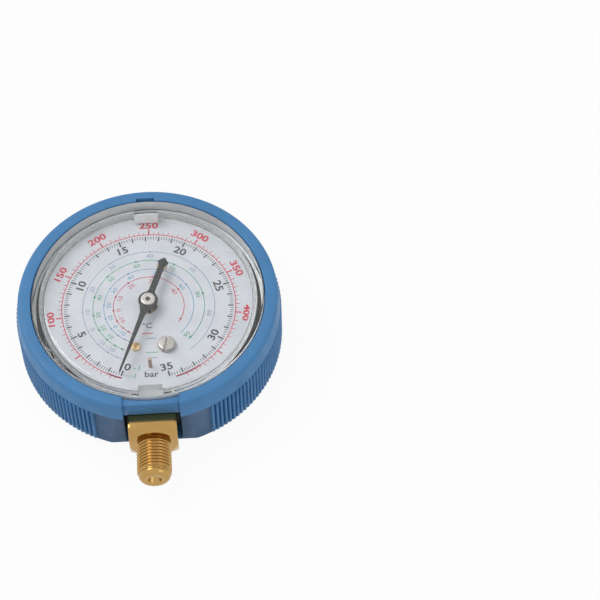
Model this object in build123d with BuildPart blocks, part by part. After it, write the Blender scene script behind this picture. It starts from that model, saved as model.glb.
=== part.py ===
"""Refrigerant manifold gauge for the low-pressure side, with a 68 mm dial and a ribbed boot.

Frame: millimetres, origin on the dial axis at the back face, +Z out of the dial,
stem along -Y. Clock angles run clockwise from +Y, as on the dial.
"""
import os
from math import acos, atan2, cos, degrees, hypot, pi, radians, sin, sqrt, tan

from build123d import *

os.makedirs("parts", exist_ok=True)

# ---------------------------------------------------------------- driving dimensions
# heights, from the back face up
boot_back = 2.2
case_depth = 13.4
dial_lift = 1.4
lens_height = 6.05
lens_proud = 0.2

# radial stack
lens_radius = 34.0
lens_wall = 2.05
lens_plate = 1.2
lens_spigot_wall = 0.6
lens_spigot_depth = 1.8
lens_inner_round = 1.8
lens_edge_round = 0.45
lens_tab_width = 7.0
lens_tab_reach = 2.25
lens_tab_lap = 0.3
lens_overhang = 0.1
case_wall = 1.0
case_corner = 3.0
gasket_thickness = 0.3
gasket_margin = 0.1
dial_thickness = 0.5
dial_edge_gap = 0.35

# boot
boot_ring_width = 3.65
boot_ring_round = 1.1
boot_rib_height = 1.0
boot_groove_inset = 0.15
boot_rib_lap = 0.7
boot_rib_bevel = 0.9
boot_base_round = 3.4
boot_back_rim = 10.0
rib_pitches = 168
rib_count = 144
rib_crest_share = 0.42
rib_foot_share = 0.68
panel_depth = 2.7
panel_round = 2.5
window_gap = 1.2
bridge_drop = 0.6
bridge_gap = 0.8
bridge_lap = 0.4
pry_slot_width = 5.4
pry_slot_depth = 0.9
pry_slot_height = 4.0

# stem and socket
stem_square = 14.0
square_floor_gap = 0.5
square_bridge_gap = 0.1
square_gap = 0.4
square_length = 7.8
square_chamfer_radius = 6.6
square_chamfer_angle = 30.0
thread_radius = 5.0
thread_length = 9.8
relief_radius = 4.3
relief_length = 0.3
nose_length = 1.7
nose_radius = 4.6
nose_round = 1.6
port_radius = 1.9
port_length = 3.0
passage_radius = 0.95
port_mouth_radius = 2.1
port_mouth_depth = 0.2
neck_width = 11.0
neck_drop = 4.3
neck_lens_gap = 0.4
block_width = 16.0
block_case_gap = 2.3
block_cover = 2.4
block_roof = 1.25
foot_length = 9.0
foot_thickness = 2.8
restrictor_length = 4.0
restrictor_hole = 0.3
restrictor_gap = 0.5
cross_hole_radius = 0.7
bore_overrun = 0.8

# pressure element
tube_radius = 25.2
tube_width = 7.5
tube_depth = 2.2
tube_wall = 0.35
tube_height = 8.8
tube_slot_depth = 3.2
tube_tip_clock = 110.0
tip_length = 4.5
tip_lap = 2.0
tip_wall = 0.8
ear_thickness = 1.0
ear_radius = 1.3
ear_root_depth = 0.5

# movement
gear_module = 0.2
pinion_teeth = 14
gear_ratio = 7
addendum_factor = 0.8
dedendum_factor = 1.05
tooth_thinning = 0.02
pressure_angle = 20
spare_teeth = 3
sector_clock = 100.3
pointer_span = 348.0
pointer_below_zero = 14.0
tail_arm = 3.2
tip_pin_depth = 6.15
link_width = 2.0
link_thickness = 0.5
link_eye_wall = 0.6
plate_thickness = 0.8
plate_margin = 1.2
pivot_inset = 0.1
plate_gap = 5.8
sector_height = 9.9
sector_thickness = 0.8
sector_hub = 1.9
sector_hub_clearance = 1.2
sector_tail_width = 2.2
sector_rim = 1.3
sector_window_margin = 9.0
staff_collar_radius = 1.3
staff_collar = 0.7
pinion_height = 9.2
pinion_width = 1.9
arbor_radius = 0.6
pivot_radius = 0.35
journal_radius = 0.5
bush_seat_radius = 0.4
pillar_radius = 1.2
pillar_spigot_radius = 0.72
link_pin_radius = 0.5
link_pin_head_rim = 0.45
link_pin_head = 0.4
spring_turns = 5
spring_strip = 0.12
spring_width = 0.6
spring_steps_per_turn = 12
spring_outer = 4.5
spring_height = 11.4
collet_radius = 1.15
collet_overhang = 0.1
stud_radius = 0.5
stud_overhang = 0.2

# pointer and dial hardware
zero_clock = 200.0
pointer_reach = 25.7
pointer_tip_width = 0.5
pointer_root_width = 1.5
pointer_thickness = 0.45
pointer_lift = 3.3
tail_reach = 15.4
tail_width = 1.9
tail_head_width = 3.3
tail_head_length = 3.2
hub_radius = 2.9
bush_radius = 2.15
bush_cap = 0.65
bush_edge = 0.2
arbor_below_cap = 0.15
bush_barrel_radius = 1.1
bush_barrel = 2.1
stop_pin_radius = 0.55
stop_pin_place = 20.6
stop_pin_height = 4.2
stop_pin_round = 0.2
dial_hole_radius = 2.5
dial_screw_clock = 196.6
dial_screw_place = 14.35
dial_screw_radius = 1.4
dial_screw_shank = 0.7
dial_screw_head = 0.8
dial_screw_slot = 0.35
post_radius = 1.4
post_spigot_radius = 0.98
calibration_clock = 160.5
calibration_place = 14.6
calibration_head_radius = 2.5
calibration_head = 1.5
calibration_edge = 0.25
calibration_lift = 0.15
calibration_shank = 0.95
calibration_slot_width = 0.7
calibration_slot_depth = 0.6
calibration_slot_turn = 78.0
bracket_length = 4.6
bracket_width = 4.0

# fasteners and plug on the back
case_screw_spacing = 11.0
case_screw_edge = 4.5
case_screw_radius = 2.3
case_screw_head = 1.2
case_screw_shank = 1.2
case_screw_slot = 0.5
case_screw_slot_depth = 0.7
screw_head_taper = 12
movement_screw_radius = 1.7
movement_screw_head = 0.8
movement_screw_shank = 0.9
movement_screw_slot = 0.45
movement_screw_edge = 2.4
plate_screw_shank = 0.8
plate_screw_depth = 3.2
vent_place = 9.0
vent_radius = 3.5
vent_flange = 1.4
vent_flange_thickness = 0.8
vent_taper = 15

# clearances
seat_gap = 0.02
running_gap = 0.05
slide_gap = 0.3
boot_grip_gap = 0.1
open_pivot_gap = 0.35
cut_overrun = 1.0


def clock_point(clock, distance):
    """Point in the dial plane at a clock angle and a distance from the dial axis."""
    return (distance * sin(radians(clock)), distance * cos(radians(clock)))


def turned(point, centre, angle):
    """Point turned counter-clockwise about a centre, angle in degrees."""
    dx = point[0] - centre[0]
    dy = point[1] - centre[1]
    c = cos(radians(angle))
    s = sin(radians(angle))
    return (centre[0] + c * dx - s * dy, centre[1] + s * dx + c * dy)


def gear_tooth(teeth, height_steps=4):
    """One tooth about +X as (angle, radius) pairs, from root to tip and back."""
    pitch_radius = gear_module * teeth / 2
    base_radius = pitch_radius * cos(radians(pressure_angle))
    root = pitch_radius - dedendum
    tip = pitch_radius + addendum
    half_angle = pi / (2 * teeth) - tooth_thinning / pitch_radius
    involute_at_pitch = tan(radians(pressure_angle)) - radians(pressure_angle)
    flank = []
    for step in range(height_steps + 1):
        radius = root + (tip - root) * step / height_steps
        pressure = acos(min(1.0, base_radius / radius))
        drop = involute_at_pitch - (tan(pressure) - pressure)
        flank.append((half_angle + drop, radius))
    rising = [(-angle, radius) for angle, radius in flank]
    return rising + flank[::-1]


# ---------------------------------------------------------------- derived places
case_rim_top = boot_back + case_depth
dial_top = case_rim_top + dial_lift
lens_top = dial_top + lens_height
boot_top = lens_top - lens_proud
pointer_height = dial_top + pointer_lift
case_radius = lens_radius - lens_overhang
case_inner = case_radius - case_wall
case_floor = boot_back + case_wall
boot_inner = case_radius + boot_grip_gap
boot_back_hole = boot_inner - boot_back_rim
ring_inner = lens_radius + slide_gap
ring_radius = ring_inner + boot_ring_width
stem_axis_height = boot_back + square_floor_gap + stem_square / 2
ring_bottom = stem_axis_height + stem_square / 2 + square_bridge_gap
boot_rib_top = ring_bottom + boot_rib_lap
rib_radius = ring_radius + boot_rib_height
groove_radius = ring_radius - boot_groove_inset
panel_y = -(rib_radius - panel_depth)
window_half_width = stem_square / 2 + window_gap
square_start = case_radius + square_gap
square_end = square_start + square_length
lens_seat = case_rim_top + gasket_thickness + gasket_margin
neck_bottom = stem_axis_height - neck_drop
neck_top = lens_seat - lens_spigot_depth - neck_lens_gap
block_top = tube_height + tube_width / 2 + block_roof
lens_inner = lens_radius - lens_wall
lens_under = lens_top - lens_plate
spigot_radius = case_inner - slide_gap
dial_bottom = dial_top - dial_thickness
dial_radius = lens_inner - dial_edge_gap

addendum = addendum_factor * gear_module
dedendum = dedendum_factor * gear_module
centre_distance = gear_module * pinion_teeth * (1 + gear_ratio) / 2
sector_teeth = pinion_teeth * gear_ratio
sector_pitch_radius = gear_module * sector_teeth / 2
sector_pivot = clock_point(sector_clock, centre_distance)
sector_pitch_angle = 360 / sector_teeth
sector_low = -pointer_below_zero / gear_ratio
sector_high = (pointer_span - pointer_below_zero) / gear_ratio
sector_mid = (sector_low + sector_high) / 2
mesh_direction = degrees(atan2(-sector_pivot[1], -sector_pivot[0]))

back_plate_bottom = case_floor + foot_thickness
back_plate_top = back_plate_bottom + plate_thickness
front_plate_bottom = back_plate_top + plate_gap
front_plate_top = front_plate_bottom + plate_thickness

# The tube swings about its brazed root; its tip moves along link_direction at mid travel.
tube_root = (-block_width / 2, -sqrt(tube_radius ** 2 - (block_width / 2) ** 2))
block_outer = sqrt((case_inner - block_case_gap) ** 2 - (block_width / 2) ** 2)
block_inner = -tube_root[1] - block_cover
foot_inner = block_inner - foot_length
tube_root_angle = degrees(atan2(tube_root[1], tube_root[0])) + 360
tube_tip_angle = 90 - tube_tip_clock
tip_centre = (tube_radius * cos(radians(tube_tip_angle)), tube_radius * sin(radians(tube_tip_angle)))
root_to_tip = (tip_centre[0] - tube_root[0], tip_centre[1] - tube_root[1])
link_direction = degrees(atan2(root_to_tip[0], -root_to_tip[1]))
tail_mid = turned((sector_pivot[0] + tail_arm, sector_pivot[1]), sector_pivot, link_direction - 90)
link_run = (cos(radians(link_direction)), sin(radians(link_direction)))
tail_along_link = tail_mid[0] * link_run[0] + tail_mid[1] * link_run[1]
tip_pin_circle = tube_radius - tip_pin_depth
link_length = tail_along_link + sqrt(
    tail_along_link ** 2 - tail_mid[0] ** 2 - tail_mid[1] ** 2 + tip_pin_circle ** 2
)
tip_pin_mid = turned((tail_mid[0] - link_length, tail_mid[1]), tail_mid, link_direction)
tip_pin_lever = hypot(tip_pin_mid[0] - tube_root[0], tip_pin_mid[1] - tube_root[1])
tube_ratio = tail_arm / tip_pin_lever
tail_pin = turned(tail_mid, sector_pivot, -sector_mid)
tip_pin = turned(tip_pin_mid, tube_root, -sector_mid * tube_ratio)
link_angle = degrees(atan2(tail_pin[1] - tip_pin[1], tail_pin[0] - tip_pin[0]))
link_height = sector_height - slide_gap - link_thickness

dial_screws_at = [clock_point(dial_screw_clock + turn, dial_screw_place) for turn in (0, 180)]
calibration_at = clock_point(calibration_clock, calibration_place)
pillars_at = [(-8.5, 5.5), (-7.5, -8.5), (13.0, 6.5)]
movement_screws_at = [
    (0, -(foot_inner + movement_screw_edge)),
    (0, -(block_inner - movement_screw_radius - slide_gap)),
]
case_screws_at = [
    (side * case_screw_spacing / 2, case_screw_edge - block_inner) for side in (-1, 1)
]

stem_plane = Plane(origin=(0, 0, stem_axis_height), x_dir=(1, 0, 0), z_dir=(0, -1, 0))
thread_start = square_end + relief_length
thread_end = thread_start + thread_length
nose_end = thread_end + nose_length
port_end = nose_end - port_mouth_depth - port_length


# ---------------------------------------------------------------- boot
rib_pitch = 2 * pi / rib_pitches
first_rib = -pi / 2 + (rib_pitches - rib_count) / 2 * rib_pitch

with BuildPart() as boot:
    with BuildSketch():
        with BuildLine():
            outline = []
            for rib in range(rib_count):
                middle = first_rib + (rib + 0.5) * rib_pitch
                foot = rib_foot_share * rib_pitch / 2
                crest = rib_crest_share * rib_pitch / 2
                for angle, radius in (
                    (middle - foot, groove_radius),
                    (middle - crest, rib_radius),
                    (middle + crest, rib_radius),
                    (middle + foot, groove_radius),
                ):
                    outline.append((radius * cos(angle), radius * sin(angle)))
            Polyline(*outline)
            ThreePointArc(outline[-1], (0, -groove_radius), outline[0])
        make_face()
    extrude(amount=boot_rib_top)
    with BuildSketch(Plane.XZ):
        with BuildLine():
            Polyline(
                (rib_radius, boot_base_round),
                (rib_radius, boot_rib_top - boot_rib_bevel),
                (rib_radius - boot_rib_bevel, boot_rib_top),
                (0, boot_rib_top),
                (0, 0),
                (rib_radius - boot_base_round, 0),
            )
            RadiusArc(
                (rib_radius - boot_base_round, 0), (rib_radius, boot_base_round), -boot_base_round
            )
        make_face()
    revolve(axis=Axis.Z, mode=Mode.INTERSECT)
    with BuildSketch(Plane.YZ):
        with BuildLine():
            Polyline(
                (panel_y, panel_round),
                (panel_y, ring_bottom),
                (panel_y - 2 * panel_depth, ring_bottom),
                (panel_y - 2 * panel_depth, -cut_overrun),
                (panel_y + panel_round, -cut_overrun),
                (panel_y + panel_round, 0),
            )
            RadiusArc((panel_y + panel_round, 0), (panel_y, panel_round), panel_round)
        make_face()
    extrude(amount=rib_radius / 2, both=True, mode=Mode.SUBTRACT)
    with BuildSketch(Plane.XZ):
        with BuildLine():
            Polyline(
                (ring_radius, boot_top - boot_ring_round),
                (ring_radius, ring_bottom),
                (ring_inner, ring_bottom),
                (ring_inner, boot_top),
                (ring_radius - boot_ring_round, boot_top),
            )
            RadiusArc(
                (ring_radius - boot_ring_round, boot_top),
                (ring_radius, boot_top - boot_ring_round),
                boot_ring_round,
            )
        make_face()
    revolve(axis=Axis.Z)
    with BuildSketch(Plane.XZ):
        with BuildLine():
            Polyline(
                (0, -cut_overrun),
                (boot_back_hole, -cut_overrun),
                (boot_back_hole, boot_back),
                (boot_inner - case_corner, boot_back),
            )
            RadiusArc(
                (boot_inner - case_corner, boot_back),
                (boot_inner, boot_back + case_corner),
                -case_corner,
            )
            Polyline(
                (boot_inner, boot_back + case_corner),
                (boot_inner, lens_seat - slide_gap),
                (ring_inner, lens_seat - slide_gap),
                (ring_inner, boot_top + cut_overrun),
                (0, boot_top + cut_overrun),
                (0, -cut_overrun),
            )
        make_face()
    revolve(axis=Axis.Z, mode=Mode.SUBTRACT)
    with BuildSketch(Plane.XY.offset(boot_back)):
        with Locations((0, -rib_radius)):
            Rectangle(2 * window_half_width, 2 * (rib_radius - boot_inner + 2 * cut_overrun))
    extrude(amount=boot_top, mode=Mode.SUBTRACT)
    with BuildSketch(Plane.XY.offset(ring_bottom)):
        with Locations((0, panel_y)):
            Rectangle(
                2 * window_half_width + bridge_lap,
                boot_ring_width,
                align=(Align.CENTER, Align.MIN),
            )
        Circle(lens_radius + bridge_gap, mode=Mode.SUBTRACT)
    extrude(amount=boot_top - bridge_drop - ring_bottom)
    with BuildSketch(Plane.XY.offset(boot_top - pry_slot_height)):
        with Locations((0, ring_inner)):
            Rectangle(pry_slot_width, 2 * pry_slot_depth)
    extrude(amount=pry_slot_height + cut_overrun, mode=Mode.SUBTRACT)
boot.part.label = "boot"
export_step(boot.part, "parts/boot.step")

# ---------------------------------------------------------------- case
with BuildPart() as case:
    with BuildSketch(Plane.XZ):
        with BuildLine():
            Polyline(
                (case_radius, boot_back + case_corner),
                (case_radius, case_rim_top),
                (0, case_rim_top),
                (0, boot_back),
                (case_radius - case_corner, boot_back),
            )
            RadiusArc(
                (case_radius - case_corner, boot_back),
                (case_radius, boot_back + case_corner),
                -case_corner,
            )
        make_face()
    revolve(axis=Axis.Z)
    with BuildSketch(Plane.XZ):
        with BuildLine():
            Polyline(
                (case_inner, boot_back + case_corner),
                (case_inner, case_rim_top + cut_overrun),
                (0, case_rim_top + cut_overrun),
                (0, case_floor),
                (case_radius - case_corner, case_floor),
            )
            RadiusArc(
                (case_radius - case_corner, case_floor),
                (case_inner, boot_back + case_corner),
                -(case_corner - case_wall),
            )
        make_face()
    revolve(axis=Axis.Z, mode=Mode.SUBTRACT)
    with BuildSketch(Plane.XY.offset(neck_bottom - slide_gap)):
        with Locations((0, -case_radius)):
            Rectangle(neck_width + 2 * slide_gap, 4 * case_wall)
    extrude(amount=case_rim_top, mode=Mode.SUBTRACT)
    with BuildSketch(Plane.XY.offset(boot_back - cut_overrun)):
        with Locations(*case_screws_at):
            Circle(case_screw_shank + running_gap)
        with Locations((0, vent_place)):
            Circle(vent_radius)
    extrude(amount=case_wall + 2 * cut_overrun, mode=Mode.SUBTRACT)
case.part.label = "case"
export_step(case.part, "parts/case.step")

# ---------------------------------------------------------------- lens and its gasket
with BuildPart() as lens:
    with BuildSketch(Plane.XZ):
        with BuildLine():
            Polyline(
                (0, lens_under),
                (0, lens_top),
                (lens_radius, lens_top),
                (lens_radius, lens_seat),
                (spigot_radius, lens_seat),
                (spigot_radius, lens_seat - lens_spigot_depth),
                (spigot_radius - lens_spigot_wall, lens_seat - lens_spigot_depth),
                (lens_inner, lens_seat),
                (lens_inner, lens_under - lens_inner_round),
            )
            RadiusArc(
                (lens_inner, lens_under - lens_inner_round),
                (lens_inner - lens_inner_round, lens_under),
                -lens_inner_round,
            )
            Line((lens_inner - lens_inner_round, lens_under), (0, lens_under))
        make_face()
    revolve(axis=Axis.Z)
    lens_edge = lens.edges().filter_by(GeomType.CIRCLE).group_by(Axis.Z)[-1]
    fillet(lens_edge, radius=lens_edge_round)
    for side in (-1, 1):
        with BuildSketch(Plane.XY.offset(dial_top + slide_gap)):
            with Locations((0, side * (lens_inner - (lens_tab_reach - lens_tab_lap) / 2))):
                Rectangle(lens_tab_width, lens_tab_reach + lens_tab_lap)
        extrude(amount=lens_under - dial_top)
lens.part.label = "lens"
export_step(lens.part, "parts/lens.step")

with BuildPart() as lens_gasket:
    with BuildSketch(Plane.XY.offset(case_rim_top)):
        Circle(case_radius - gasket_margin)
        Circle(case_inner + gasket_margin, mode=Mode.SUBTRACT)
        with Locations((0, -case_radius)):
            Rectangle(neck_width + 2 * slide_gap, 4 * case_wall, mode=Mode.SUBTRACT)
    extrude(amount=gasket_thickness)
lens_gasket.part.label = "lens_gasket"
export_step(lens_gasket.part, "parts/lens_gasket.step")

# ---------------------------------------------------------------- socket with stem
with BuildPart() as socket:
    with BuildSketch(stem_plane.offset(square_start)):
        Rectangle(stem_square, stem_square)
    extrude(amount=square_end - square_start)
    with BuildSketch(Plane.YZ):
        with BuildLine():
            chamfer_run = (stem_square - square_chamfer_radius) * tan(radians(square_chamfer_angle))
            Polyline(
                (-square_start, stem_axis_height),
                (-square_end, stem_axis_height),
                (-square_end, stem_axis_height + square_chamfer_radius),
                (-square_end + chamfer_run, stem_axis_height + stem_square),
                (-square_start, stem_axis_height + stem_square),
                (-square_start, stem_axis_height),
            )
        make_face()
    revolve(axis=Axis((0, 0, stem_axis_height), (0, 1, 0)), mode=Mode.INTERSECT)
    with BuildSketch(stem_plane.offset(square_end)):
        Circle(relief_radius)
    extrude(amount=relief_length)
    with BuildSketch(stem_plane.offset(thread_start)):
        Circle(thread_radius)
    extrude(amount=thread_length)
    with BuildSketch(Plane.YZ):
        with BuildLine():
            Polyline(
                (-thread_end, stem_axis_height),
                (-thread_end, stem_axis_height + nose_radius),
                (-nose_end + nose_round, stem_axis_height + nose_radius),
            )
            RadiusArc(
                (-nose_end + nose_round, stem_axis_height + nose_radius),
                (-nose_end, stem_axis_height + nose_radius - nose_round),
                -nose_round,
            )
            Polyline(
                (-nose_end, stem_axis_height + nose_radius - nose_round),
                (-nose_end, stem_axis_height),
                (-thread_end, stem_axis_height),
            )
        make_face()
    revolve(axis=Axis((0, 0, stem_axis_height), (0, 1, 0)))
    with BuildSketch(Plane.XY.offset(neck_bottom)):
        with Locations((0, -(square_start + block_outer) / 2)):
            Rectangle(neck_width, square_start - block_outer)
    extrude(amount=neck_top - neck_bottom)
    with BuildSketch(Plane.XY.offset(case_floor)):
        with Locations((0, -(block_inner + block_outer) / 2)):
            Rectangle(block_width, block_outer - block_inner)
    extrude(amount=block_top - case_floor)
    with BuildSketch(Plane.XY.offset(case_floor)):
        with Locations((0, -(block_inner + foot_inner) / 2)):
            Rectangle(block_width, block_inner - foot_inner)
    extrude(amount=foot_thickness)
    # pressure passage: port, bore and the cross hole into the tube slot
    with BuildSketch(stem_plane.offset(-tube_root[1] - bore_overrun)):
        Circle(passage_radius)
    extrude(amount=nose_end, mode=Mode.SUBTRACT)
    with BuildSketch(stem_plane.offset(port_end)):
        Circle(port_radius)
    extrude(amount=port_length + port_mouth_depth, mode=Mode.SUBTRACT)
    with BuildSketch(Plane.YZ):
        with BuildLine():
            Polyline(
                (-nose_end - cut_overrun, stem_axis_height),
                (-nose_end - cut_overrun, stem_axis_height + port_mouth_radius),
                (-nose_end, stem_axis_height + port_mouth_radius),
                (-nose_end + port_mouth_depth, stem_axis_height + port_radius),
                (-nose_end + port_mouth_depth, stem_axis_height),
                (-nose_end - cut_overrun, stem_axis_height),
            )
        make_face()
    revolve(axis=Axis((0, 0, stem_axis_height), (0, 1, 0)), mode=Mode.SUBTRACT)
    with BuildSketch(Plane.YZ):
        with Locations((-tube_radius, stem_axis_height)):
            Circle(cross_hole_radius)
    extrude(amount=-block_width / 2, mode=Mode.SUBTRACT)
    # slot that the tube is brazed into
    with BuildSketch(Plane.XY.offset(tube_height - tube_width / 2 - slide_gap)):
        Circle(tube_radius + tube_depth / 2 + slide_gap)
        Circle(tube_radius - tube_depth / 2 - slide_gap, mode=Mode.SUBTRACT)
        with Locations((-block_width / 2, -tube_radius)):
            Rectangle(2 * (tube_slot_depth + slide_gap), 4 * tube_depth, mode=Mode.INTERSECT)
    extrude(amount=tube_width + 2 * slide_gap, mode=Mode.SUBTRACT)
    with BuildSketch(Plane.XY.offset(case_floor)):
        with Locations(*case_screws_at):
            Circle(case_screw_shank + seat_gap)
        with Locations(*movement_screws_at):
            Circle(movement_screw_shank + seat_gap)
    extrude(amount=foot_thickness, mode=Mode.SUBTRACT)
socket.part.label = "socket"
export_step(socket.part, "parts/socket.step")

with BuildPart() as restrictor:
    with BuildSketch(stem_plane.offset(port_end - restrictor_gap)):
        Circle(passage_radius - seat_gap)
        Circle(restrictor_hole, mode=Mode.SUBTRACT)
    extrude(amount=-restrictor_length)
restrictor.part.label = "restrictor"
export_step(restrictor.part, "parts/restrictor.step")

with BuildPart() as case_screws:
    with BuildSketch(Plane.XY.offset(boot_back)):
        with Locations(*case_screws_at):
            Circle(case_screw_radius)
    extrude(amount=-case_screw_head, taper=screw_head_taper)
    with BuildSketch(Plane.XY.offset(boot_back)):
        with Locations(*case_screws_at):
            Circle(case_screw_shank)
    extrude(amount=case_wall + foot_thickness - 2 * seat_gap)
    with BuildSketch(Plane.XY.offset(boot_back - case_screw_head)):
        with Locations(*case_screws_at):
            Rectangle(2 * case_screw_shank, case_screw_slot)
            Rectangle(case_screw_slot, 2 * case_screw_shank)
    extrude(amount=case_screw_slot_depth, mode=Mode.SUBTRACT)
case_screws.part.label = "case_screws"
export_step(case_screws.part, "parts/case_screws.step")

with BuildPart() as vent_plug:
    with BuildSketch(Plane.XY.offset(boot_back)):
        with Locations((0, vent_place)):
            Circle(vent_radius + vent_flange)
    extrude(amount=-vent_flange_thickness, taper=vent_taper)
    with BuildSketch(Plane.XY.offset(boot_back)):
        with Locations((0, vent_place)):
            Circle(vent_radius - seat_gap)
    extrude(amount=case_wall + vent_flange_thickness)
    with BuildSketch(Plane.XY.offset(case_floor + seat_gap)):
        with Locations((0, vent_place)):
            Circle(vent_radius + vent_flange / 2)
    extrude(amount=vent_flange_thickness, taper=vent_taper)
vent_plug.part.label = "vent_plug"
export_step(vent_plug.part, "parts/vent_plug.step")

# ---------------------------------------------------------------- pressure element
root_overlap = degrees(tube_slot_depth / tube_radius)
tube_sweep = tube_root_angle + root_overlap - tube_tip_angle
tip_start = tube_tip_angle
sweep_start = Plane(
    origin=(0, 0, 0),
    x_dir=(cos(radians(tip_start)), sin(radians(tip_start)), 0),
    z_dir=(sin(radians(tip_start)), -cos(radians(tip_start)), 0),
)

with BuildPart() as bourdon_tube:
    with BuildSketch(sweep_start):
        with Locations((tube_radius, tube_height)):
            SlotOverall(tube_width, tube_depth, rotation=90)
            SlotOverall(
                tube_width - 2 * tube_wall,
                tube_depth - 2 * tube_wall,
                rotation=90,
                mode=Mode.SUBTRACT,
            )
    revolve(axis=Axis.Z, revolution_arc=tube_sweep)
bourdon_tube.part.label = "bourdon_tube"
export_step(bourdon_tube.part, "parts/bourdon_tube.step")

ear_bottom = sector_height
with BuildPart() as tube_end:
    with BuildSketch(Plane.XY.offset(tube_height - tube_width / 2 - tip_wall)):
        with BuildLine():
            lap_angle = radians(tube_tip_angle) + tip_lap / tube_radius
            end_angle = radians(tube_tip_angle) - (tip_length - tip_lap) / tube_radius
            outer = tube_radius + tube_depth / 2 + tip_wall
            inner = tube_radius - tube_depth / 2 - tip_wall
            corners = [(outer, end_angle), (outer, lap_angle), (inner, lap_angle), (inner, end_angle)]
            Polyline(*[(r * cos(a), r * sin(a)) for r, a in corners], close=True)
        make_face()
    extrude(amount=tube_width + 2 * tip_wall)
    with BuildSketch(Plane.XY.offset(ear_bottom)):
        ear_root = turned((inner + ear_root_depth, 0), (0, 0), degrees((lap_angle + end_angle) / 2))
        ear_run = (ear_root[0] - tip_pin[0], ear_root[1] - tip_pin[1])
        with Locations(((ear_root[0] + tip_pin[0]) / 2, (ear_root[1] + tip_pin[1]) / 2)):
            SlotCenterToCenter(
                hypot(*ear_run), 2 * ear_radius, rotation=degrees(atan2(ear_run[1], ear_run[0]))
            )
    extrude(amount=ear_thickness)
    with BuildSketch(Plane.XY.offset(ear_bottom)):
        with Locations(tip_pin):
            Circle(link_pin_radius + seat_gap)
    extrude(amount=ear_thickness, mode=Mode.SUBTRACT)
    # pocket for the tube's end
    with BuildSketch(sweep_start):
        with Locations((tube_radius, tube_height)):
            SlotOverall(tube_width + 2 * seat_gap, tube_depth + 2 * seat_gap, rotation=90)
    revolve(axis=Axis.Z, revolution_arc=2 * degrees(tip_lap / tube_radius), mode=Mode.SUBTRACT)
tube_end.part.label = "tube_end"
export_step(tube_end.part, "parts/tube_end.step")

# ---------------------------------------------------------------- link and its pins
pin_head_radius = link_pin_radius + link_pin_head_rim
pin_head_top = link_height - running_gap
with BuildPart() as link:
    link_middle = ((tail_pin[0] + tip_pin[0]) / 2, (tail_pin[1] + tip_pin[1]) / 2)
    with BuildSketch(Plane.XY.offset(link_height)):
        with Locations(link_middle):
            SlotCenterToCenter(link_length, link_width, rotation=link_angle)
        with Locations(tip_pin):
            Circle(link_pin_radius + open_pivot_gap + link_eye_wall)
            Circle(link_pin_radius + open_pivot_gap, mode=Mode.SUBTRACT)
        with Locations(tail_pin):
            Circle(link_pin_radius + running_gap, mode=Mode.SUBTRACT)
    extrude(amount=link_thickness)
link.part.label = "link"
export_step(link.part, "parts/link.step")

with BuildPart() as tip_pivot:
    with BuildSketch(Plane.XY.offset(pin_head_top)):
        with Locations(tip_pin):
            Circle(pin_head_radius + open_pivot_gap)
    extrude(amount=-link_pin_head)
    with BuildSketch(Plane.XY.offset(pin_head_top)):
        with Locations(tip_pin):
            Circle(link_pin_radius)
    extrude(amount=ear_bottom + ear_thickness - pin_head_top)
tip_pivot.part.label = "tip_pivot"
export_step(tip_pivot.part, "parts/tip_pivot.step")

with BuildPart() as tail_pivot:
    with BuildSketch(Plane.XY.offset(pin_head_top)):
        with Locations(tail_pin):
            Circle(pin_head_radius)
    extrude(amount=-link_pin_head)
    with BuildSketch(Plane.XY.offset(pin_head_top)):
        with Locations(tail_pin):
            Circle(link_pin_radius)
    extrude(amount=sector_height + sector_thickness - pin_head_top)
tail_pivot.part.label = "tail_pivot"
export_step(tail_pivot.part, "parts/tail_pivot.step")

# ---------------------------------------------------------------- sector gear and pinion
teeth_below = int(sector_high / sector_pitch_angle) + spare_teeth
teeth_above = int(-sector_low / sector_pitch_angle) + spare_teeth
sector_tooth = gear_tooth(sector_teeth)
sector_root = sector_pitch_radius - dedendum

with BuildPart() as sector_gear:
    with BuildSketch(Plane.XY.offset(sector_height)):
        with BuildLine():
            edge_points = [sector_pivot]
            for tooth in range(-teeth_below, teeth_above + 1):
                facing = mesh_direction + tooth * sector_pitch_angle
                for angle, radius in sector_tooth:
                    ray = (sector_pivot[0] + radius, sector_pivot[1])
                    edge_points.append(turned(ray, sector_pivot, facing + degrees(angle)))
            Polyline(*edge_points, close=True)
        make_face()
        with Locations(sector_pivot):
            Circle(sector_hub)
        tail_angle = degrees(atan2(tail_pin[1] - sector_pivot[1], tail_pin[0] - sector_pivot[0]))
        with Locations(turned((sector_pivot[0] + tail_arm / 2, sector_pivot[1]), sector_pivot, tail_angle)):
            SlotCenterToCenter(tail_arm, sector_tail_width, rotation=tail_angle)
        with Locations(sector_pivot):
            Circle(arbor_radius + seat_gap, mode=Mode.SUBTRACT)
        with Locations(tail_pin):
            Circle(link_pin_radius + seat_gap, mode=Mode.SUBTRACT)
    extrude(amount=sector_thickness)
    with BuildSketch(Plane.XY.offset(sector_height)):
        with Locations(sector_pivot):
            Circle(sector_root - sector_rim)
            Circle(sector_hub + sector_hub_clearance, mode=Mode.SUBTRACT)
        first = mesh_direction - teeth_below * sector_pitch_angle + sector_window_margin
        last = mesh_direction + teeth_above * sector_pitch_angle - sector_window_margin
        far = (sector_pivot[0] + 2 * sector_pitch_radius, sector_pivot[1])
        with BuildLine():
            Polyline(
                sector_pivot,
                turned(far, sector_pivot, first),
                turned(far, sector_pivot, (first + last) / 2),
                turned(far, sector_pivot, last),
                close=True,
            )
        make_face(mode=Mode.INTERSECT)
    extrude(amount=sector_thickness, mode=Mode.SUBTRACT)
sector_gear.part.label = "sector_gear"
export_step(sector_gear.part, "parts/sector_gear.step")

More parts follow.
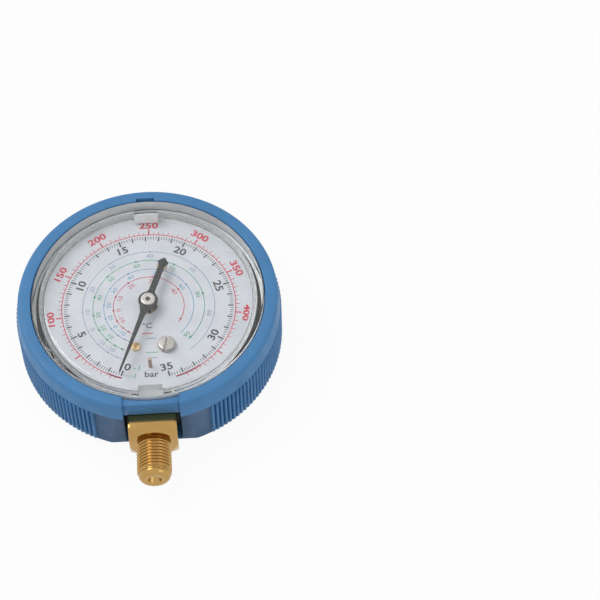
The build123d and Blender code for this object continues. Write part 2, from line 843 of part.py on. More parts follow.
with BuildPart() as sector_staff:
    with BuildSketch(Plane.XY.offset(back_plate_top + slide_gap)):
        with Locations(sector_pivot):
            Circle(arbor_radius)
    extrude(amount=plate_gap - 2 * slide_gap)
    with BuildSketch(Plane.XY.offset(back_plate_bottom + pivot_inset)):
        with Locations(sector_pivot):
            Circle(pivot_radius)
    extrude(amount=front_plate_top - back_plate_bottom - 2 * pivot_inset)
    with BuildSketch(Plane.XY.offset(sector_height + sector_thickness)):
        with Locations(sector_pivot):
            Circle(staff_collar_radius)
    extrude(amount=staff_collar)
sector_staff.part.label = "sector_staff"
export_step(sector_staff.part, "parts/sector_staff.step")

pinion_tooth = gear_tooth(pinion_teeth)
pinion_step = 360 / pinion_teeth
bush_bottom = pointer_height - bush_barrel
arbor_top = pointer_height + pointer_thickness + bush_cap - arbor_below_cap
with BuildPart() as pinion_arbor:
    with BuildSketch(Plane.XY.offset(pinion_height)):
        with BuildLine():
            rim_points = []
            for tooth in range(pinion_teeth):
                facing = mesh_direction + 180 + (tooth + 0.5) * pinion_step
                for angle, radius in pinion_tooth:
                    rim_points.append(turned((radius, 0), (0, 0), facing + degrees(angle)))
            Polyline(*rim_points, close=True)
        make_face()
    extrude(amount=pinion_width)
    for radius, low, high in (
        (pivot_radius, back_plate_bottom + pivot_inset, back_plate_top + slide_gap),
        (arbor_radius, back_plate_top + slide_gap, front_plate_bottom - slide_gap),
        (journal_radius, front_plate_bottom - slide_gap, bush_bottom),
        (bush_seat_radius, bush_bottom, arbor_top),
    ):
        with BuildSketch(Plane.XY.offset(low)):
            Circle(radius)
        extrude(amount=high - low)
pinion_arbor.part.label = "pinion_arbor"
export_step(pinion_arbor.part, "parts/pinion_arbor.step")

# ---------------------------------------------------------------- hairspring
with BuildPart() as spring_collet:
    with BuildSketch(Plane.XY.offset(spring_height - collet_overhang)):
        Circle(collet_radius)
        Circle(arbor_radius + seat_gap, mode=Mode.SUBTRACT)
    extrude(amount=spring_width + 2 * collet_overhang)
spring_collet.part.label = "spring_collet"
export_step(spring_collet.part, "parts/spring_collet.step")

spring_inner = collet_radius + running_gap
spring_steps = spring_steps_per_turn * spring_turns
with BuildPart() as hairspring:
    with BuildSketch(Plane.XY.offset(spring_height)):
        with BuildLine():
            inner_edge = []
            outer_edge = []
            for step in range(spring_steps + 1):
                share = step / spring_steps
                angle = 360 * spring_turns * share
                radius = spring_inner + (spring_outer - spring_inner) * share
                inner_edge.append(turned((radius, 0), (0, 0), angle))
                outer_edge.append(turned((radius + spring_strip, 0), (0, 0), angle))
            Spline(*inner_edge)
            Spline(*outer_edge)
            Line(inner_edge[0], outer_edge[0])
            Line(inner_edge[-1], outer_edge[-1])
        make_face()
    extrude(amount=spring_width)
hairspring.part.label = "hairspring"
export_step(hairspring.part, "parts/hairspring.step")

with BuildPart() as spring_stud:
    with BuildSketch(Plane.XY.offset(spring_height - stud_overhang)):
        with Locations((spring_outer + spring_strip + seat_gap + stud_radius, 0)):
            Circle(stud_radius)
    extrude(amount=front_plate_bottom - spring_height + stud_overhang)
spring_stud.part.label = "spring_stud"
export_step(spring_stud.part, "parts/spring_stud.step")

# ---------------------------------------------------------------- movement frame
with BuildPart() as back_plate:
    with BuildSketch(Plane.XY.offset(back_plate_bottom)):
        with BuildLine():
            for centre in pillars_at + [sector_pivot]:
                CenterArc(centre, pillar_radius + plate_margin, 0, 360)
            CenterArc(movement_screws_at[1], movement_screw_radius + slide_gap, 0, 360)
        make_hull()
        with Locations(*pillars_at):
            Circle(pillar_spigot_radius + seat_gap, mode=Mode.SUBTRACT)
        with Locations((0, 0), sector_pivot):
            Circle(pivot_radius + running_gap, mode=Mode.SUBTRACT)
        with Locations(*movement_screws_at):
            Circle(movement_screw_shank + running_gap, mode=Mode.SUBTRACT)
    extrude(amount=plate_thickness)
back_plate.part.label = "back_plate"
export_step(back_plate.part, "parts/back_plate.step")

with BuildPart() as front_plate:
    with BuildSketch(Plane.XY.offset(front_plate_bottom)):
        with BuildLine():
            for centre in pillars_at + [sector_pivot] + dial_screws_at + [calibration_at]:
                CenterArc(centre, pillar_radius + plate_margin, 0, 360)
        make_hull()
        with Locations(*pillars_at):
            Circle(plate_screw_shank + running_gap, mode=Mode.SUBTRACT)
        with Locations((0, 0)):
            Circle(journal_radius + running_gap, mode=Mode.SUBTRACT)
        with Locations(sector_pivot):
            Circle(pivot_radius + running_gap, mode=Mode.SUBTRACT)
        with Locations(*dial_screws_at):
            Circle(post_spigot_radius + seat_gap, mode=Mode.SUBTRACT)
        with Locations(calibration_at):
            Circle(calibration_shank + slide_gap, mode=Mode.SUBTRACT)
    extrude(amount=plate_thickness)
front_plate.part.label = "front_plate"
export_step(front_plate.part, "parts/front_plate.step")

with BuildPart() as pillars:
    with BuildSketch(Plane.XY.offset(back_plate_top)):
        with Locations(*pillars_at):
            Circle(pillar_radius)
    extrude(amount=plate_gap)
    with BuildSketch(Plane.XY.offset(back_plate_bottom)):
        with Locations(*pillars_at):
            Circle(pillar_spigot_radius)
    extrude(amount=plate_thickness)
    with BuildSketch(Plane.XY.offset(front_plate_bottom - plate_screw_depth - slide_gap)):
        with Locations(*pillars_at):
            Circle(plate_screw_shank + seat_gap)
    extrude(amount=plate_screw_depth + slide_gap, mode=Mode.SUBTRACT)
pillars.part.label = "pillars"
export_step(pillars.part, "parts/pillars.step")

with BuildPart() as plate_screws:
    with BuildSketch(Plane.XY.offset(front_plate_top)):
        with Locations(*pillars_at):
            Circle(movement_screw_radius)
    extrude(amount=movement_screw_head)
    with BuildSketch(Plane.XY.offset(front_plate_top)):
        with Locations(*pillars_at):
            Circle(plate_screw_shank)
    extrude(amount=-(plate_thickness + plate_screw_depth))
    with BuildSketch(Plane.XY.offset(front_plate_top + movement_screw_head)):
        with Locations(*pillars_at):
            Rectangle(2 * movement_screw_radius, movement_screw_slot)
    extrude(amount=-movement_screw_head / 2, mode=Mode.SUBTRACT)
plate_screws.part.label = "plate_screws"
export_step(plate_screws.part, "parts/plate_screws.step")

with BuildPart() as movement_screws:
    with BuildSketch(Plane.XY.offset(back_plate_top)):
        with Locations(*movement_screws_at):
            Circle(movement_screw_radius)
    extrude(amount=movement_screw_head)
    with BuildSketch(Plane.XY.offset(back_plate_top)):
        with Locations(*movement_screws_at):
            Circle(movement_screw_shank)
    extrude(amount=-(plate_thickness + foot_thickness - 4 * seat_gap))
    with BuildSketch(Plane.XY.offset(back_plate_top + movement_screw_head)):
        with Locations(*movement_screws_at):
            Rectangle(2 * movement_screw_radius, movement_screw_slot)
    extrude(amount=-movement_screw_head / 2, mode=Mode.SUBTRACT)
movement_screws.part.label = "movement_screws"
export_step(movement_screws.part, "parts/movement_screws.step")

# ---------------------------------------------------------------- dial and what it carries
with BuildPart() as dial_posts:
    with BuildSketch(Plane.XY.offset(front_plate_top)):
        with Locations(*dial_screws_at):
            Circle(post_radius)
    extrude(amount=dial_bottom - front_plate_top)
    with BuildSketch(Plane.XY.offset(front_plate_bottom)):
        with Locations(*dial_screws_at):
            Circle(post_spigot_radius)
    extrude(amount=plate_thickness)
    with BuildSketch(Plane.XY.offset(front_plate_bottom)):
        with Locations(*dial_screws_at):
            Circle(dial_screw_shank + seat_gap)
    extrude(amount=dial_bottom - front_plate_bottom, mode=Mode.SUBTRACT)
dial_posts.part.label = "dial_posts"
export_step(dial_posts.part, "parts/dial_posts.step")

stop_pin_at = clock_point(180, stop_pin_place)
with BuildPart() as dial:
    with BuildSketch(Plane.XY.offset(dial_bottom)):
        Circle(dial_radius)
        Circle(dial_hole_radius, mode=Mode.SUBTRACT)
        with Locations(*dial_screws_at):
            Circle(dial_screw_shank + running_gap, mode=Mode.SUBTRACT)
        with Locations(calibration_at):
            Circle(calibration_shank + slide_gap, mode=Mode.SUBTRACT)
        with Locations(stop_pin_at):
            Circle(stop_pin_radius + seat_gap, mode=Mode.SUBTRACT)
    extrude(amount=dial_thickness)
dial.part.label = "dial"
export_step(dial.part, "parts/dial.step")

with BuildPart() as dial_screws:
    with BuildSketch(Plane.XY.offset(dial_top)):
        with Locations(*dial_screws_at):
            Circle(dial_screw_radius)
    extrude(amount=dial_screw_head, taper=screw_head_taper)
    with BuildSketch(Plane.XY.offset(dial_top)):
        with Locations(*dial_screws_at):
            Circle(dial_screw_shank)
    extrude(amount=-(dial_top - front_plate_top))
    with BuildSketch(Plane.XY.offset(dial_top + dial_screw_head)):
        with Locations(*dial_screws_at):
            Rectangle(dial_screw_radius, dial_screw_slot)
            Rectangle(dial_screw_slot, dial_screw_radius)
    extrude(amount=-dial_screw_head / 2, mode=Mode.SUBTRACT)
dial_screws.part.label = "dial_screws"
export_step(dial_screws.part, "parts/dial_screws.step")

with BuildPart() as stop_pin:
    with BuildSketch(Plane.XY.offset(dial_bottom)):
        with Locations(stop_pin_at):
            Circle(stop_pin_radius)
    extrude(amount=dial_thickness + stop_pin_height)
    fillet(stop_pin.edges().group_by(Axis.Z)[-1], radius=stop_pin_round)
stop_pin.part.label = "stop_pin"
export_step(stop_pin.part, "parts/stop_pin.step")

bracket_height = dial_bottom - front_plate_top - 2 * slide_gap
with BuildPart() as calibration_bracket:
    with BuildSketch(Plane.XY.offset(front_plate_top)):
        with Locations(calibration_at):
            Rectangle(bracket_length, bracket_width)
            Circle(calibration_shank + running_gap, mode=Mode.SUBTRACT)
    extrude(amount=bracket_height)
calibration_bracket.part.label = "calibration_bracket"
export_step(calibration_bracket.part, "parts/calibration_bracket.step")

calibration_seat = dial_top + calibration_lift
with BuildPart() as calibration_screw:
    with BuildSketch(Plane.XY.offset(calibration_seat)):
        with Locations(calibration_at):
            Circle(calibration_head_radius)
    extrude(amount=calibration_head)
    chamfer(calibration_screw.edges().group_by(Axis.Z)[-1], length=calibration_edge)
    with BuildSketch(Plane.XY.offset(calibration_seat)):
        with Locations(calibration_at):
            Circle(calibration_shank)
    extrude(amount=-(calibration_seat - front_plate_top - slide_gap))
    with BuildSketch(Plane.XY.offset(calibration_seat + calibration_head)):
        with Locations(Location(calibration_at, calibration_slot_turn)):
            Rectangle(2 * calibration_head_radius, calibration_slot_width)
    extrude(amount=-calibration_slot_depth, mode=Mode.SUBTRACT)
calibration_screw.part.label = "calibration_screw"
export_step(calibration_screw.part, "parts/calibration_screw.step")

# ---------------------------------------------------------------- pointer
pointer_plane = Plane(
    origin=(0, 0, pointer_height),
    x_dir=(*clock_point(zero_clock, 1), 0),
    z_dir=(0, 0, 1),
)
with BuildPart() as pointer:
    with BuildSketch(pointer_plane):
        with BuildLine():
            upper = [
                (pointer_reach, pointer_tip_width / 2),
                (0, pointer_root_width / 2),
                (0, tail_width / 2),
                (-(tail_reach - tail_head_length), tail_width / 2),
                (-(tail_reach - 0.75 * tail_head_length), tail_head_width / 2),
                (-(tail_reach - 0.4 * tail_head_length), tail_head_width / 2),
                (-tail_reach, tail_width / 4),
            ]
            lower = [(x, -y) for x, y in reversed(upper)]
            Polyline(*upper, *lower, close=True)
        make_face()
        Circle(hub_radius)
        Circle(bush_barrel_radius + seat_gap, mode=Mode.SUBTRACT)
    extrude(amount=pointer_thickness)
pointer.part.label = "pointer"
export_step(pointer.part, "parts/pointer.step")

with BuildPart() as pointer_bush:
    with BuildSketch(Plane.XY.offset(pointer_height + pointer_thickness)):
        Circle(bush_radius)
    extrude(amount=bush_cap)
    chamfer(pointer_bush.edges().group_by(Axis.Z)[-1], length=bush_edge)
    with BuildSketch(Plane.XY.offset(bush_bottom)):
        Circle(bush_barrel_radius)
    extrude(amount=bush_barrel + pointer_thickness)
    with BuildSketch(Plane.XY.offset(bush_bottom)):
        Circle(bush_seat_radius + seat_gap)
    extrude(amount=bush_barrel + pointer_thickness + bush_cap, mode=Mode.SUBTRACT)
pointer_bush.part.label = "pointer_bush"
export_step(pointer_bush.part, "parts/pointer_bush.step")
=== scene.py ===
"""Refrigerant manifold gauge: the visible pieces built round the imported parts, in the parts' own frame.

Lengths in the tables are millimetres, the dial axis is +Z and the stem runs along -Y.
Clock angles run clockwise from +Y, as the dial reads.
"""

from math import asin, cos, degrees, exp, pi, radians, sin, tan

import bmesh
import bpy
from bpy.props import FloatProperty, FloatVectorProperty, IntProperty, PointerProperty
from mathutils import Matrix, Vector


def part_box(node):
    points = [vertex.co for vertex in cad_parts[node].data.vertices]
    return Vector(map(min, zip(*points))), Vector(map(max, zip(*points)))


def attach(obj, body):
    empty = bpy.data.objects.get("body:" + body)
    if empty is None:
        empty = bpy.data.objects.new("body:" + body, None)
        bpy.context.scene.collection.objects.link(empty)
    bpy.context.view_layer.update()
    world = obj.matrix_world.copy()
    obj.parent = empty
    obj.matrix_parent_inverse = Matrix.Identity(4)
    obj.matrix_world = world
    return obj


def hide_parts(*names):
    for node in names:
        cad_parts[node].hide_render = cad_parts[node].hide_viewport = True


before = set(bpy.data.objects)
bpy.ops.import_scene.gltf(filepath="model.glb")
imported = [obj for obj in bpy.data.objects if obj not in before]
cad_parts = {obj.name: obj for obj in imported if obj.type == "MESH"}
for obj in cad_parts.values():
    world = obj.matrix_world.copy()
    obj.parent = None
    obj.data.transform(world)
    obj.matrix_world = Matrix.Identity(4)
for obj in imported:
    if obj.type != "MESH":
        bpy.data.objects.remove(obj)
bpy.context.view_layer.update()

bl_info = {
    "name": "Refrigerant Manifold Gauge",
    "version": (1, 0, 0),
    "blender": (4, 5, 0),
    "location": "3D View > Sidebar > Gauge",
    "description": "Builds the visible pieces of a refrigerant manifold gauge on its packed parts",
    "category": "Add Mesh",
}

MM = 0.001

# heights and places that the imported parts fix, in millimetres; a screw's place is its clock angle,
# its radius from the dial axis and the turn of its recess
STEM_AXIS = 9.7
BACK_WALL = 2.2
BACK_OPENING = 24.0
BOOT_INSIDE = 34.0
RING_LEDGE = 15.7
RING_BOTTOM = 16.8
WINDOW_GAP = 1.2
LENS_SEAT = 16.0
LENS_TOP = 23.05
LENS_UNDER = 21.85
SKIRT_OUTER = 32.6
SKIRT_INNER = 32.0
SKIRT_DEPTH = 1.8
SQUARE_START = 34.3
SQUARE_END = 42.1
THREAD_START = 42.4
THREAD_END = 52.2
NOSE_END = 53.9
PORT_LENGTH = 3.2
PORT_CHAMFER = 0.2
PASSAGE_RADIUS = 0.95
PASSAGE_START = 44.0
DIAL_SCREW_PLACES = ((196.6, 14.35, 20), (16.6, 14.35, 65))
DIAL_SCREW_FOOT = 14.2
CALIBRATION_PLACE = (160.5, 14.6, 78)
CALIBRATION_FOOT = 13.2
HEAD_SEAT = 17.0
DIAL_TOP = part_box("dial")[1].z / MM
POINTER_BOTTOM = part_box("pointer")[0].z / MM


# ---- settings
def number(name, description, default, **limits):
    return FloatProperty(name=name, description=description, default=default, **limits)


def length(name, description, default):
    """A length setting, given in millimetres and stored in metres."""
    return number(name, description, default * MM, unit="LENGTH", subtype="DISTANCE", precision=5)


def colour(name, description, default):
    """A colour setting, given as 0 to 255 display values and stored as linear light."""
    linear = [((c / 255 + 0.055) / 1.055) ** 2.4 if c > 10 else c / 255 / 12.92 for c in default]
    return FloatVectorProperty(
        name=name, description=description, default=linear, size=3, min=0, max=1, subtype="COLOR",
    )


def turn(name, description, default):
    """An angle setting, given in degrees and stored in radians."""
    return number(name, description, radians(default), unit="ROTATION", subtype="ANGLE")


def share(name, description, default):
    return number(name, description, default, min=0, max=1, subtype="FACTOR")


class GaugeBoot(bpy.types.PropertyGroup):
    """Rubber boot round the case."""

    ring_radius: length("Ring radius", "Outer radius of the smooth ring round the lens", 37.95)
    ring_flare: length("Ring flare", "How far the ring's foot stands out past its top", 0.75)
    ring_inner: length("Ring bore", "Radius of the ring's opening round the lens", 34.3)
    ring_top: length("Ring top", "Height of the ring's top face", 22.85)
    ring_round: length("Ring rounding", "Rounding of the ring's outer top edge", 1.1)
    groove_radius: length("Groove radius", "Radius at the bottom of the grip grooves", 37.8)
    rib_radius: length("Rib radius", "Radius over the grip ribs", 38.95)
    rib_top: length("Rib top", "Height of the ribs' rounded ends", 17.5)
    base_round: length("Base rounding", "Rounding of the back edge", 3.4)
    panel_depth: length("Panel depth", "Depth of the flat beside the stem below the ribs", 2.7)
    rib_pitches: IntProperty(name="Rib pitches", description="Pitches in a full turn", default=168, min=12)
    rib_count: IntProperty(name="Rib count", description="Ribs actually moulded", default=144, min=1)
    crest_share: share("Crest share", "Width of a rib's crest as a share of the pitch", 0.42)
    foot_share: share("Foot share", "Width of a rib's foot as a share of the pitch", 0.68)
    paint: colour("Rubber", "Colour of the moulded rubber", (66, 127, 179))
    # the flats' darker, greyer colour is painted shade on the recessed flats beside the stem
    flats: colour("Flats", "Colour of the matt flats beside the stem", (66, 98, 134))


class GaugeLens(bpy.types.PropertyGroup):
    """Clear snap-in lens."""

    radius: length("Radius", "Outer radius of the lens", 34.0)
    wall: length("Wall", "Thickness of the lens wall", 2.05)
    edge_round: length("Edge rounding", "Rounding of the top edge", 0.45)
    inner_round: length("Inner rounding", "Rounding under the top plate", 1.8)
    tab_width: length("Tab width", "Width of the two grip tabs", 7.0)
    index: number("Index", "Refractive index of the plastic", 1.49, min=1, max=2)


class GaugeDial(bpy.types.PropertyGroup):
    """Dial and its print."""

    zero_clock: turn("Zero clock", "Clock angle of zero pressure", 200.0)
    psi_turn: turn("Turn per psi", "Clock angle that one psi takes", 0.6447)
    bar_turn: turn("Turn per bar", "Clock angle that one bar takes", 9.35)
    outer_scale: length("Outer scale", "Radius of the coloured pressure arc", 25.55)
    inner_scale: length("Inner scale", "Outer end of the black pressure ticks", 24.9)
    ink_height: length("Ink height", "Thickness of the printed ink", 0.02)
    enamel: colour("Enamel", "Colour of the dial's ground", (188, 192, 198))
    red_ink: colour("Red ink", "Outer scale and inmost temperature scale", (188, 34, 62))
    black_ink: colour("Black ink", "Inner pressure scale", (38, 38, 42))
    green_ink: colour("Green ink", "Second temperature scale", (38, 150, 108))
    blue_ink: colour("Blue ink", "Third temperature scale", (78, 140, 182))
    slate_ink: colour("Slate ink", "Outer temperature scale", (118, 142, 172))


class GaugeStem(bpy.types.PropertyGroup):
    """Brass stem with its square and thread."""

    square: length("Square", "Width across the square's flats", 14.0)
    chamfer_radius: length("Chamfer radius", "Radius of the square's round end face", 6.6)
    chamfer_turn: turn("Chamfer angle", "Angle of the square's turned chamfer", 30.0)
    thread_radius: length("Thread radius", "Crest radius of the thread", 5.0)
    thread_pitch: length("Thread pitch", "Pitch of the thread", 1.0)
    thread_depth: length("Thread depth", "Depth from crest to root", 0.6)
    relief_radius: length("Relief radius", "Radius of the groove behind the thread", 4.3)
    nose_radius: length("Nose radius", "Radius of the plain nose", 4.6)
    nose_round: length("Nose rounding", "Rounding of the nose's end", 1.6)
    port_radius: length("Port radius", "Radius of the pressure port", 1.9)
    brass: colour("Brass", "Colour of the turned brass", (182, 146, 88))


class GaugeStudio(bpy.types.PropertyGroup):
    """Camera, lights and floor."""

    aim: length("Aim height", "Height of the point that the camera turns about", 49.23)
    distance: length("Distance", "Distance from the camera to that point", 657.4)
    elevation: turn("Elevation", "Height of the camera above the horizon", 56.93)
    yaw: turn("Yaw", "Turn of the gauge under the camera", 2.5)
    roll: turn("Roll", "Roll of the camera", -0.969)
    offset_x: length("Offset across", "Place of the gauge across the picture", -44.42)
    offset_y: length("Offset along", "Place of the gauge along the view", 19.30)
    focal: number("Focal length", "Focal length on a 36 mm sensor", 141.93, min=10)
    sky: number("Sky", "Strength of the even studio light", 0.62, min=0)
    key: number("Key", "Power of the main lamp in watts", 2.7, min=0)
    fill: number("Fill", "Power of the side lamp in watts", 0.5, min=0)
    floor: colour("Floor", "Colour of the pale floor", (243, 243, 244))


class GaugeSettings(bpy.types.PropertyGroup):
    """Settings of the whole gauge."""

    boot: PointerProperty(type=GaugeBoot, name="Boot", description="Rubber boot")
    lens: PointerProperty(type=GaugeLens, name="Lens", description="Clear lens")
    dial: PointerProperty(type=GaugeDial, name="Dial", description="Dial and its print")
    stem: PointerProperty(type=GaugeStem, name="Stem", description="Brass stem")
    studio: PointerProperty(type=GaugeStudio, name="Studio", description="Camera, lights and floor")


# ---- mesh helpers
def link_object(name, data):
    piece = bpy.data.objects.new(name, data)
    bpy.context.scene.collection.objects.link(piece)
    return piece


def fill(thing, **values):
    """Sets a thing's attributes and returns it."""
    for key, value in values.items():
        setattr(thing, key, value)
    return thing


def discard(*pieces):
    """Removes objects and their meshes."""
    for piece in pieces:
        mesh = piece.data
        bpy.data.objects.remove(piece)
        bpy.data.meshes.remove(mesh)


def smooth(piece, angle=32):
    piece.data.shade_smooth()
    piece.data.set_sharp_from_angle(angle=radians(angle))


def closed_piece(name, bm, angle=32, outward=True):
    """An object from a bmesh of closed shells, doubles merged and faces turned outward."""
    bmesh.ops.remove_doubles(bm, verts=bm.verts, dist=2e-7)
    bmesh.ops.dissolve_degenerate(bm, edges=bm.edges, dist=1e-8)
    if outward:
        bmesh.ops.recalc_face_normals(bm, faces=bm.faces)
    mesh = bpy.data.meshes.new(name)
    bm.to_mesh(mesh)
    bm.free()
    piece = link_object(name, mesh)
    smooth(piece, angle)
    return piece


def evaluated_mesh(piece):
    """A new mesh of what an object's modifiers or letters make."""
    bpy.context.view_layer.update()
    graph = bpy.context.evaluated_depsgraph_get()
    return bpy.data.meshes.new_from_object(piece.evaluated_get(graph), depsgraph=graph)


def bake(piece, angle=32):
    """Turns what the modifiers make into the piece's own mesh and removes the modifiers."""
    made = evaluated_mesh(piece)
    old = piece.data
    piece.modifiers.clear()
    piece.data = made
    bpy.data.meshes.remove(old)
    smooth(piece, angle)
    return piece


def modify(piece, kind, **values):
    """Adds a modifier with its values set."""
    return fill(piece.modifiers.new(kind.lower(), kind), **values)


def combine(piece, operation, *tools):
    """Cuts tools from a piece or unites them with it, and removes the tools."""
    for tool in tools:
        modify(piece, "BOOLEAN", operation=operation, solver="EXACT", object=tool)
    bake(piece)
    discard(*tools)
    return piece


def soften(piece, width, angle=40):
    """Rounds a piece's sharp edges."""
    modify(piece, "BEVEL", width=width * MM, segments=2, limit_method="ANGLE", angle_limit=radians(angle))
    return bake(piece)


def join(piece, *others):
    """Puts other objects' meshes into a piece as further shells."""
    bm = bmesh.new()
    for source in (piece, *others):
        bm.from_mesh(source.data)
    bm.to_mesh(piece.data)
    bm.free()
    discard(*others)
    return piece


def rounded(corners, steps=5):
    """A polyline through the (x, y) or (x, y, rounding) corners of a closed outline, rounded by arcs."""
    path = []
    for i, corner in enumerate(corners):
        here = Vector(corner[:2])
        size = corner[2] if len(corner) > 2 else 0
        if not size:
            path.append(tuple(here))
            continue
        before = (Vector(corners[i - 1][:2]) - here).normalized()
        after = (Vector(corners[(i + 1) % len(corners)][:2]) - here).normalized()
        half = before.angle(after) / 2
        centre = here + (before + after).normalized() * size / sin(half)
        start = here + before * size / tan(half) - centre
        sweep = start.angle_signed(here + after * size / tan(half) - centre)
        for k in range(steps + 1):
            spoke = start.copy()
            spoke.rotate(Matrix.Rotation(-sweep * k / steps, 2))
            path.append(tuple(centre + spoke))
    return path


def arc(centre, radius, first, last, steps):
    """Points on an arc, angles in degrees counter-clockwise."""
    angles = [radians(first + (last - first) * k / steps) for k in range(steps + 1)]
    return [(centre[0] + radius * cos(a), centre[1] + radius * sin(a)) for a in angles]


def bar_outline(half_length, half_width, spot, tilt):
    """A rectangle centred on a spot and turned counter-clockwise in degrees."""
    a = radians(tilt)
    corners = [(half_length, half_width), (-half_length, half_width),
               (-half_length, -half_width), (half_length, -half_width)]
    return [(spot[0] + x * cos(a) - y * sin(a), spot[1] + x * sin(a) + y * cos(a)) for x, y in corners]


def clock_place(clock, radius):
    """Point in the dial plane at a clock angle in degrees."""
    return (radius * sin(radians(clock)), radius * cos(radians(clock)))


def dial_axis(centre=(0, 0)):
    return lambda r, h, a: Vector((centre[0] + r * cos(a), centre[1] + r * sin(a), h)) * MM


def stem_axis(r, h, a):
    return Vector((r * cos(a), -h, STEM_AXIS + r * sin(a))) * MM


def lathe(bm, profile, place, steps=96, closed=True):
    """Turns a profile of (radius, height) points about an axis."""
    rings = []
    for r, h in profile:
        if abs(r) < 1e-6:
            rings.append([bm.verts.new(place(0, h, 0))] * steps)
        else:
            rings.append([bm.verts.new(place(r, h, 2 * pi * k / steps)) for k in range(steps)])
    pairs = list(zip(rings, rings[1:]))
    if closed:
        pairs.append((rings[-1], rings[0]))
    for lower, upper in pairs:
        for k in range(steps):
            face = dict.fromkeys((lower[k], lower[(k + 1) % steps], upper[(k + 1) % steps], upper[k]))
            if len(face) > 2:
                bm.faces.new(face)


def turned_piece(name, profile, place, steps=96):
    bm = bmesh.new()
    lathe(bm, profile, place, steps)
    return closed_piece(name, bm)


def turned_screw(name, spot, shank, foot, head, steps):
    """A screw along the dial axis; the head's profile starts on the axis at its seat."""
    profile = [(0, foot), (shank, foot), (shank, head[0][1])] + rounded(head)[1:]
    return turned_piece(name, profile, dial_axis(spot), steps)


def prism_piece(name, outline, low, high, place=None):
    """An upright prism on a closed outline of (x, y) points."""
    place = place or (lambda x, y, z: Vector((x, y, z)) * MM)
    bm = bmesh.new()
    bottom, top = [[bm.verts.new(place(x, y, h)) for x, y in outline] for h in (low, high)]
    bm.faces.new(bottom)
    bm.faces.new(top[::-1])
    for k in range(len(outline)):
        after = (k + 1) % len(outline)
        bm.faces.new((bottom[k], top[k], top[after], bottom[after]))
    return closed_piece(name, bm)


def box_piece(name, low, high):
    outline = [(low[0], low[1]), (high[0], low[1]), (high[0], high[1]), (low[0], high[1])]
    return prism_piece(name, outline, low[2], high[2])


def place_on(piece, body, slot, *nodes):
    """Hands a finished piece to the frame."""
    if nodes:
        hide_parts(*nodes)
    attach(piece, body)


def dress(piece, material):
    """Gives a piece one material on every face."""
    piece.data.materials.clear()
    piece.data.materials.append(material)
    piece.data.polygons.foreach_set("material_index", [0] * len(piece.data.polygons))
    return piece


# ---- node helpers
def add(tree, kind, inputs=(), **fields):
    """Adds a node with its fields; an input takes a link where it's given a socket, or else a value."""
    node = fill(tree.nodes.new(kind), **fields)
    for key, value in dict(inputs).items():
        if isinstance(value, bpy.types.NodeSocket):
            tree.links.new(value, node.inputs[key])
        else:
            node.inputs[key].default_value = value
    return node


def calculate(tree, operation, *numbers):
    """A math node's result."""
    return add(tree, "ShaderNodeMath", enumerate(numbers), operation=operation).outputs[0]


def ring_tree():
    """Geometry Nodes tree that repeats a piece about the dial axis, leaving out every so many."""
    tree = bpy.data.node_groups.get("gauge_ring_repeat")
    if tree:
        return tree
    tree = bpy.data.node_groups.new("gauge_ring_repeat", "GeometryNodeTree")
    for name, kind in (("Piece", "Geometry"), ("Count", "Int"), ("First Angle", "Float"),
                       ("Step", "Float"), ("Skip Every", "Int"), ("Finish", "Material")):
        tree.interface.new_socket(name, in_out="INPUT", socket_type="NodeSocket" + kind)
    tree.interface.new_socket("Pieces", in_out="OUTPUT", socket_type="NodeSocketGeometry")
    given = add(tree, "NodeGroupInput").outputs
    index = add(tree, "GeometryNodeInputIndex").outputs[0]
    points = add(tree, "GeometryNodePoints", {"Count": given["Count"]})
    angle = calculate(tree, "MULTIPLY_ADD", index, given["Step"], given["First Angle"])
    spin = add(tree, "ShaderNodeCombineXYZ", {"Z": angle})
    off_beat = calculate(tree, "GREATER_THAN", calculate(tree, "MODULO", index, given["Skip Every"]), 0.5)
    keep_all = calculate(tree, "LESS_THAN", given["Skip Every"], 1)
    copies = add(tree, "GeometryNodeInstanceOnPoints", {
        "Points": points.outputs[0],
        "Selection": calculate(tree, "MAXIMUM", off_beat, keep_all),
        "Instance": given["Piece"],
        "Rotation": spin.outputs[0],
    })
    real = add(tree, "GeometryNodeRealizeInstances", {0: copies.outputs[0]})
    finish = add(tree, "GeometryNodeSetMaterial", {"Geometry": real.outputs[0], "Material": given["Finish"]})
    add(tree, "NodeGroupOutput", {0: finish.outputs[0]})
    return tree


def repeat_round(piece, finish, count, first, step, skip=0, angle=32):
    """Repeats a piece about the dial axis, angles counter-clockwise in degrees."""
    modifier = modify(piece, "NODES", node_group=ring_tree())
    given = {
        "Count": count,
        "First Angle": radians(first),
        "Step": radians(step),
        "Skip Every": skip,
        "Finish": finish,
    }
    for item in modifier.node_group.interface.items_tree:
        if item.item_type == "SOCKET" and item.in_out == "INPUT" and item.name in given:
            modifier[item.identifier] = given[item.name]
    return bake(piece, angle)


def mix_shaders(tree, factor, first, second, output):
    """Mixes two shaders' nodes into an output node."""
    mix = add(tree, "ShaderNodeMixShader", {"Fac": factor, 1: first.outputs[0], 2: second.outputs[0]})
    tree.links.new(mix.outputs[0], output.inputs["Surface"])


def seen_rays(tree):
    """1 for camera, glossy and transmission rays."""
    rays = add(tree, "ShaderNodeLightPath").outputs
    total = rays["Is Camera Ray"]
    for other in ("Is Glossy Ray", "Is Transmission Ray"):
        total = calculate(tree, "MAXIMUM", total, rays[other])
    return total


# ---- finishes
WHITE = (1, 1, 1, 1)
NOISE_RANGE = (0.3, 0.7)


def principled(tree):
    return tree.nodes["Principled BSDF"]


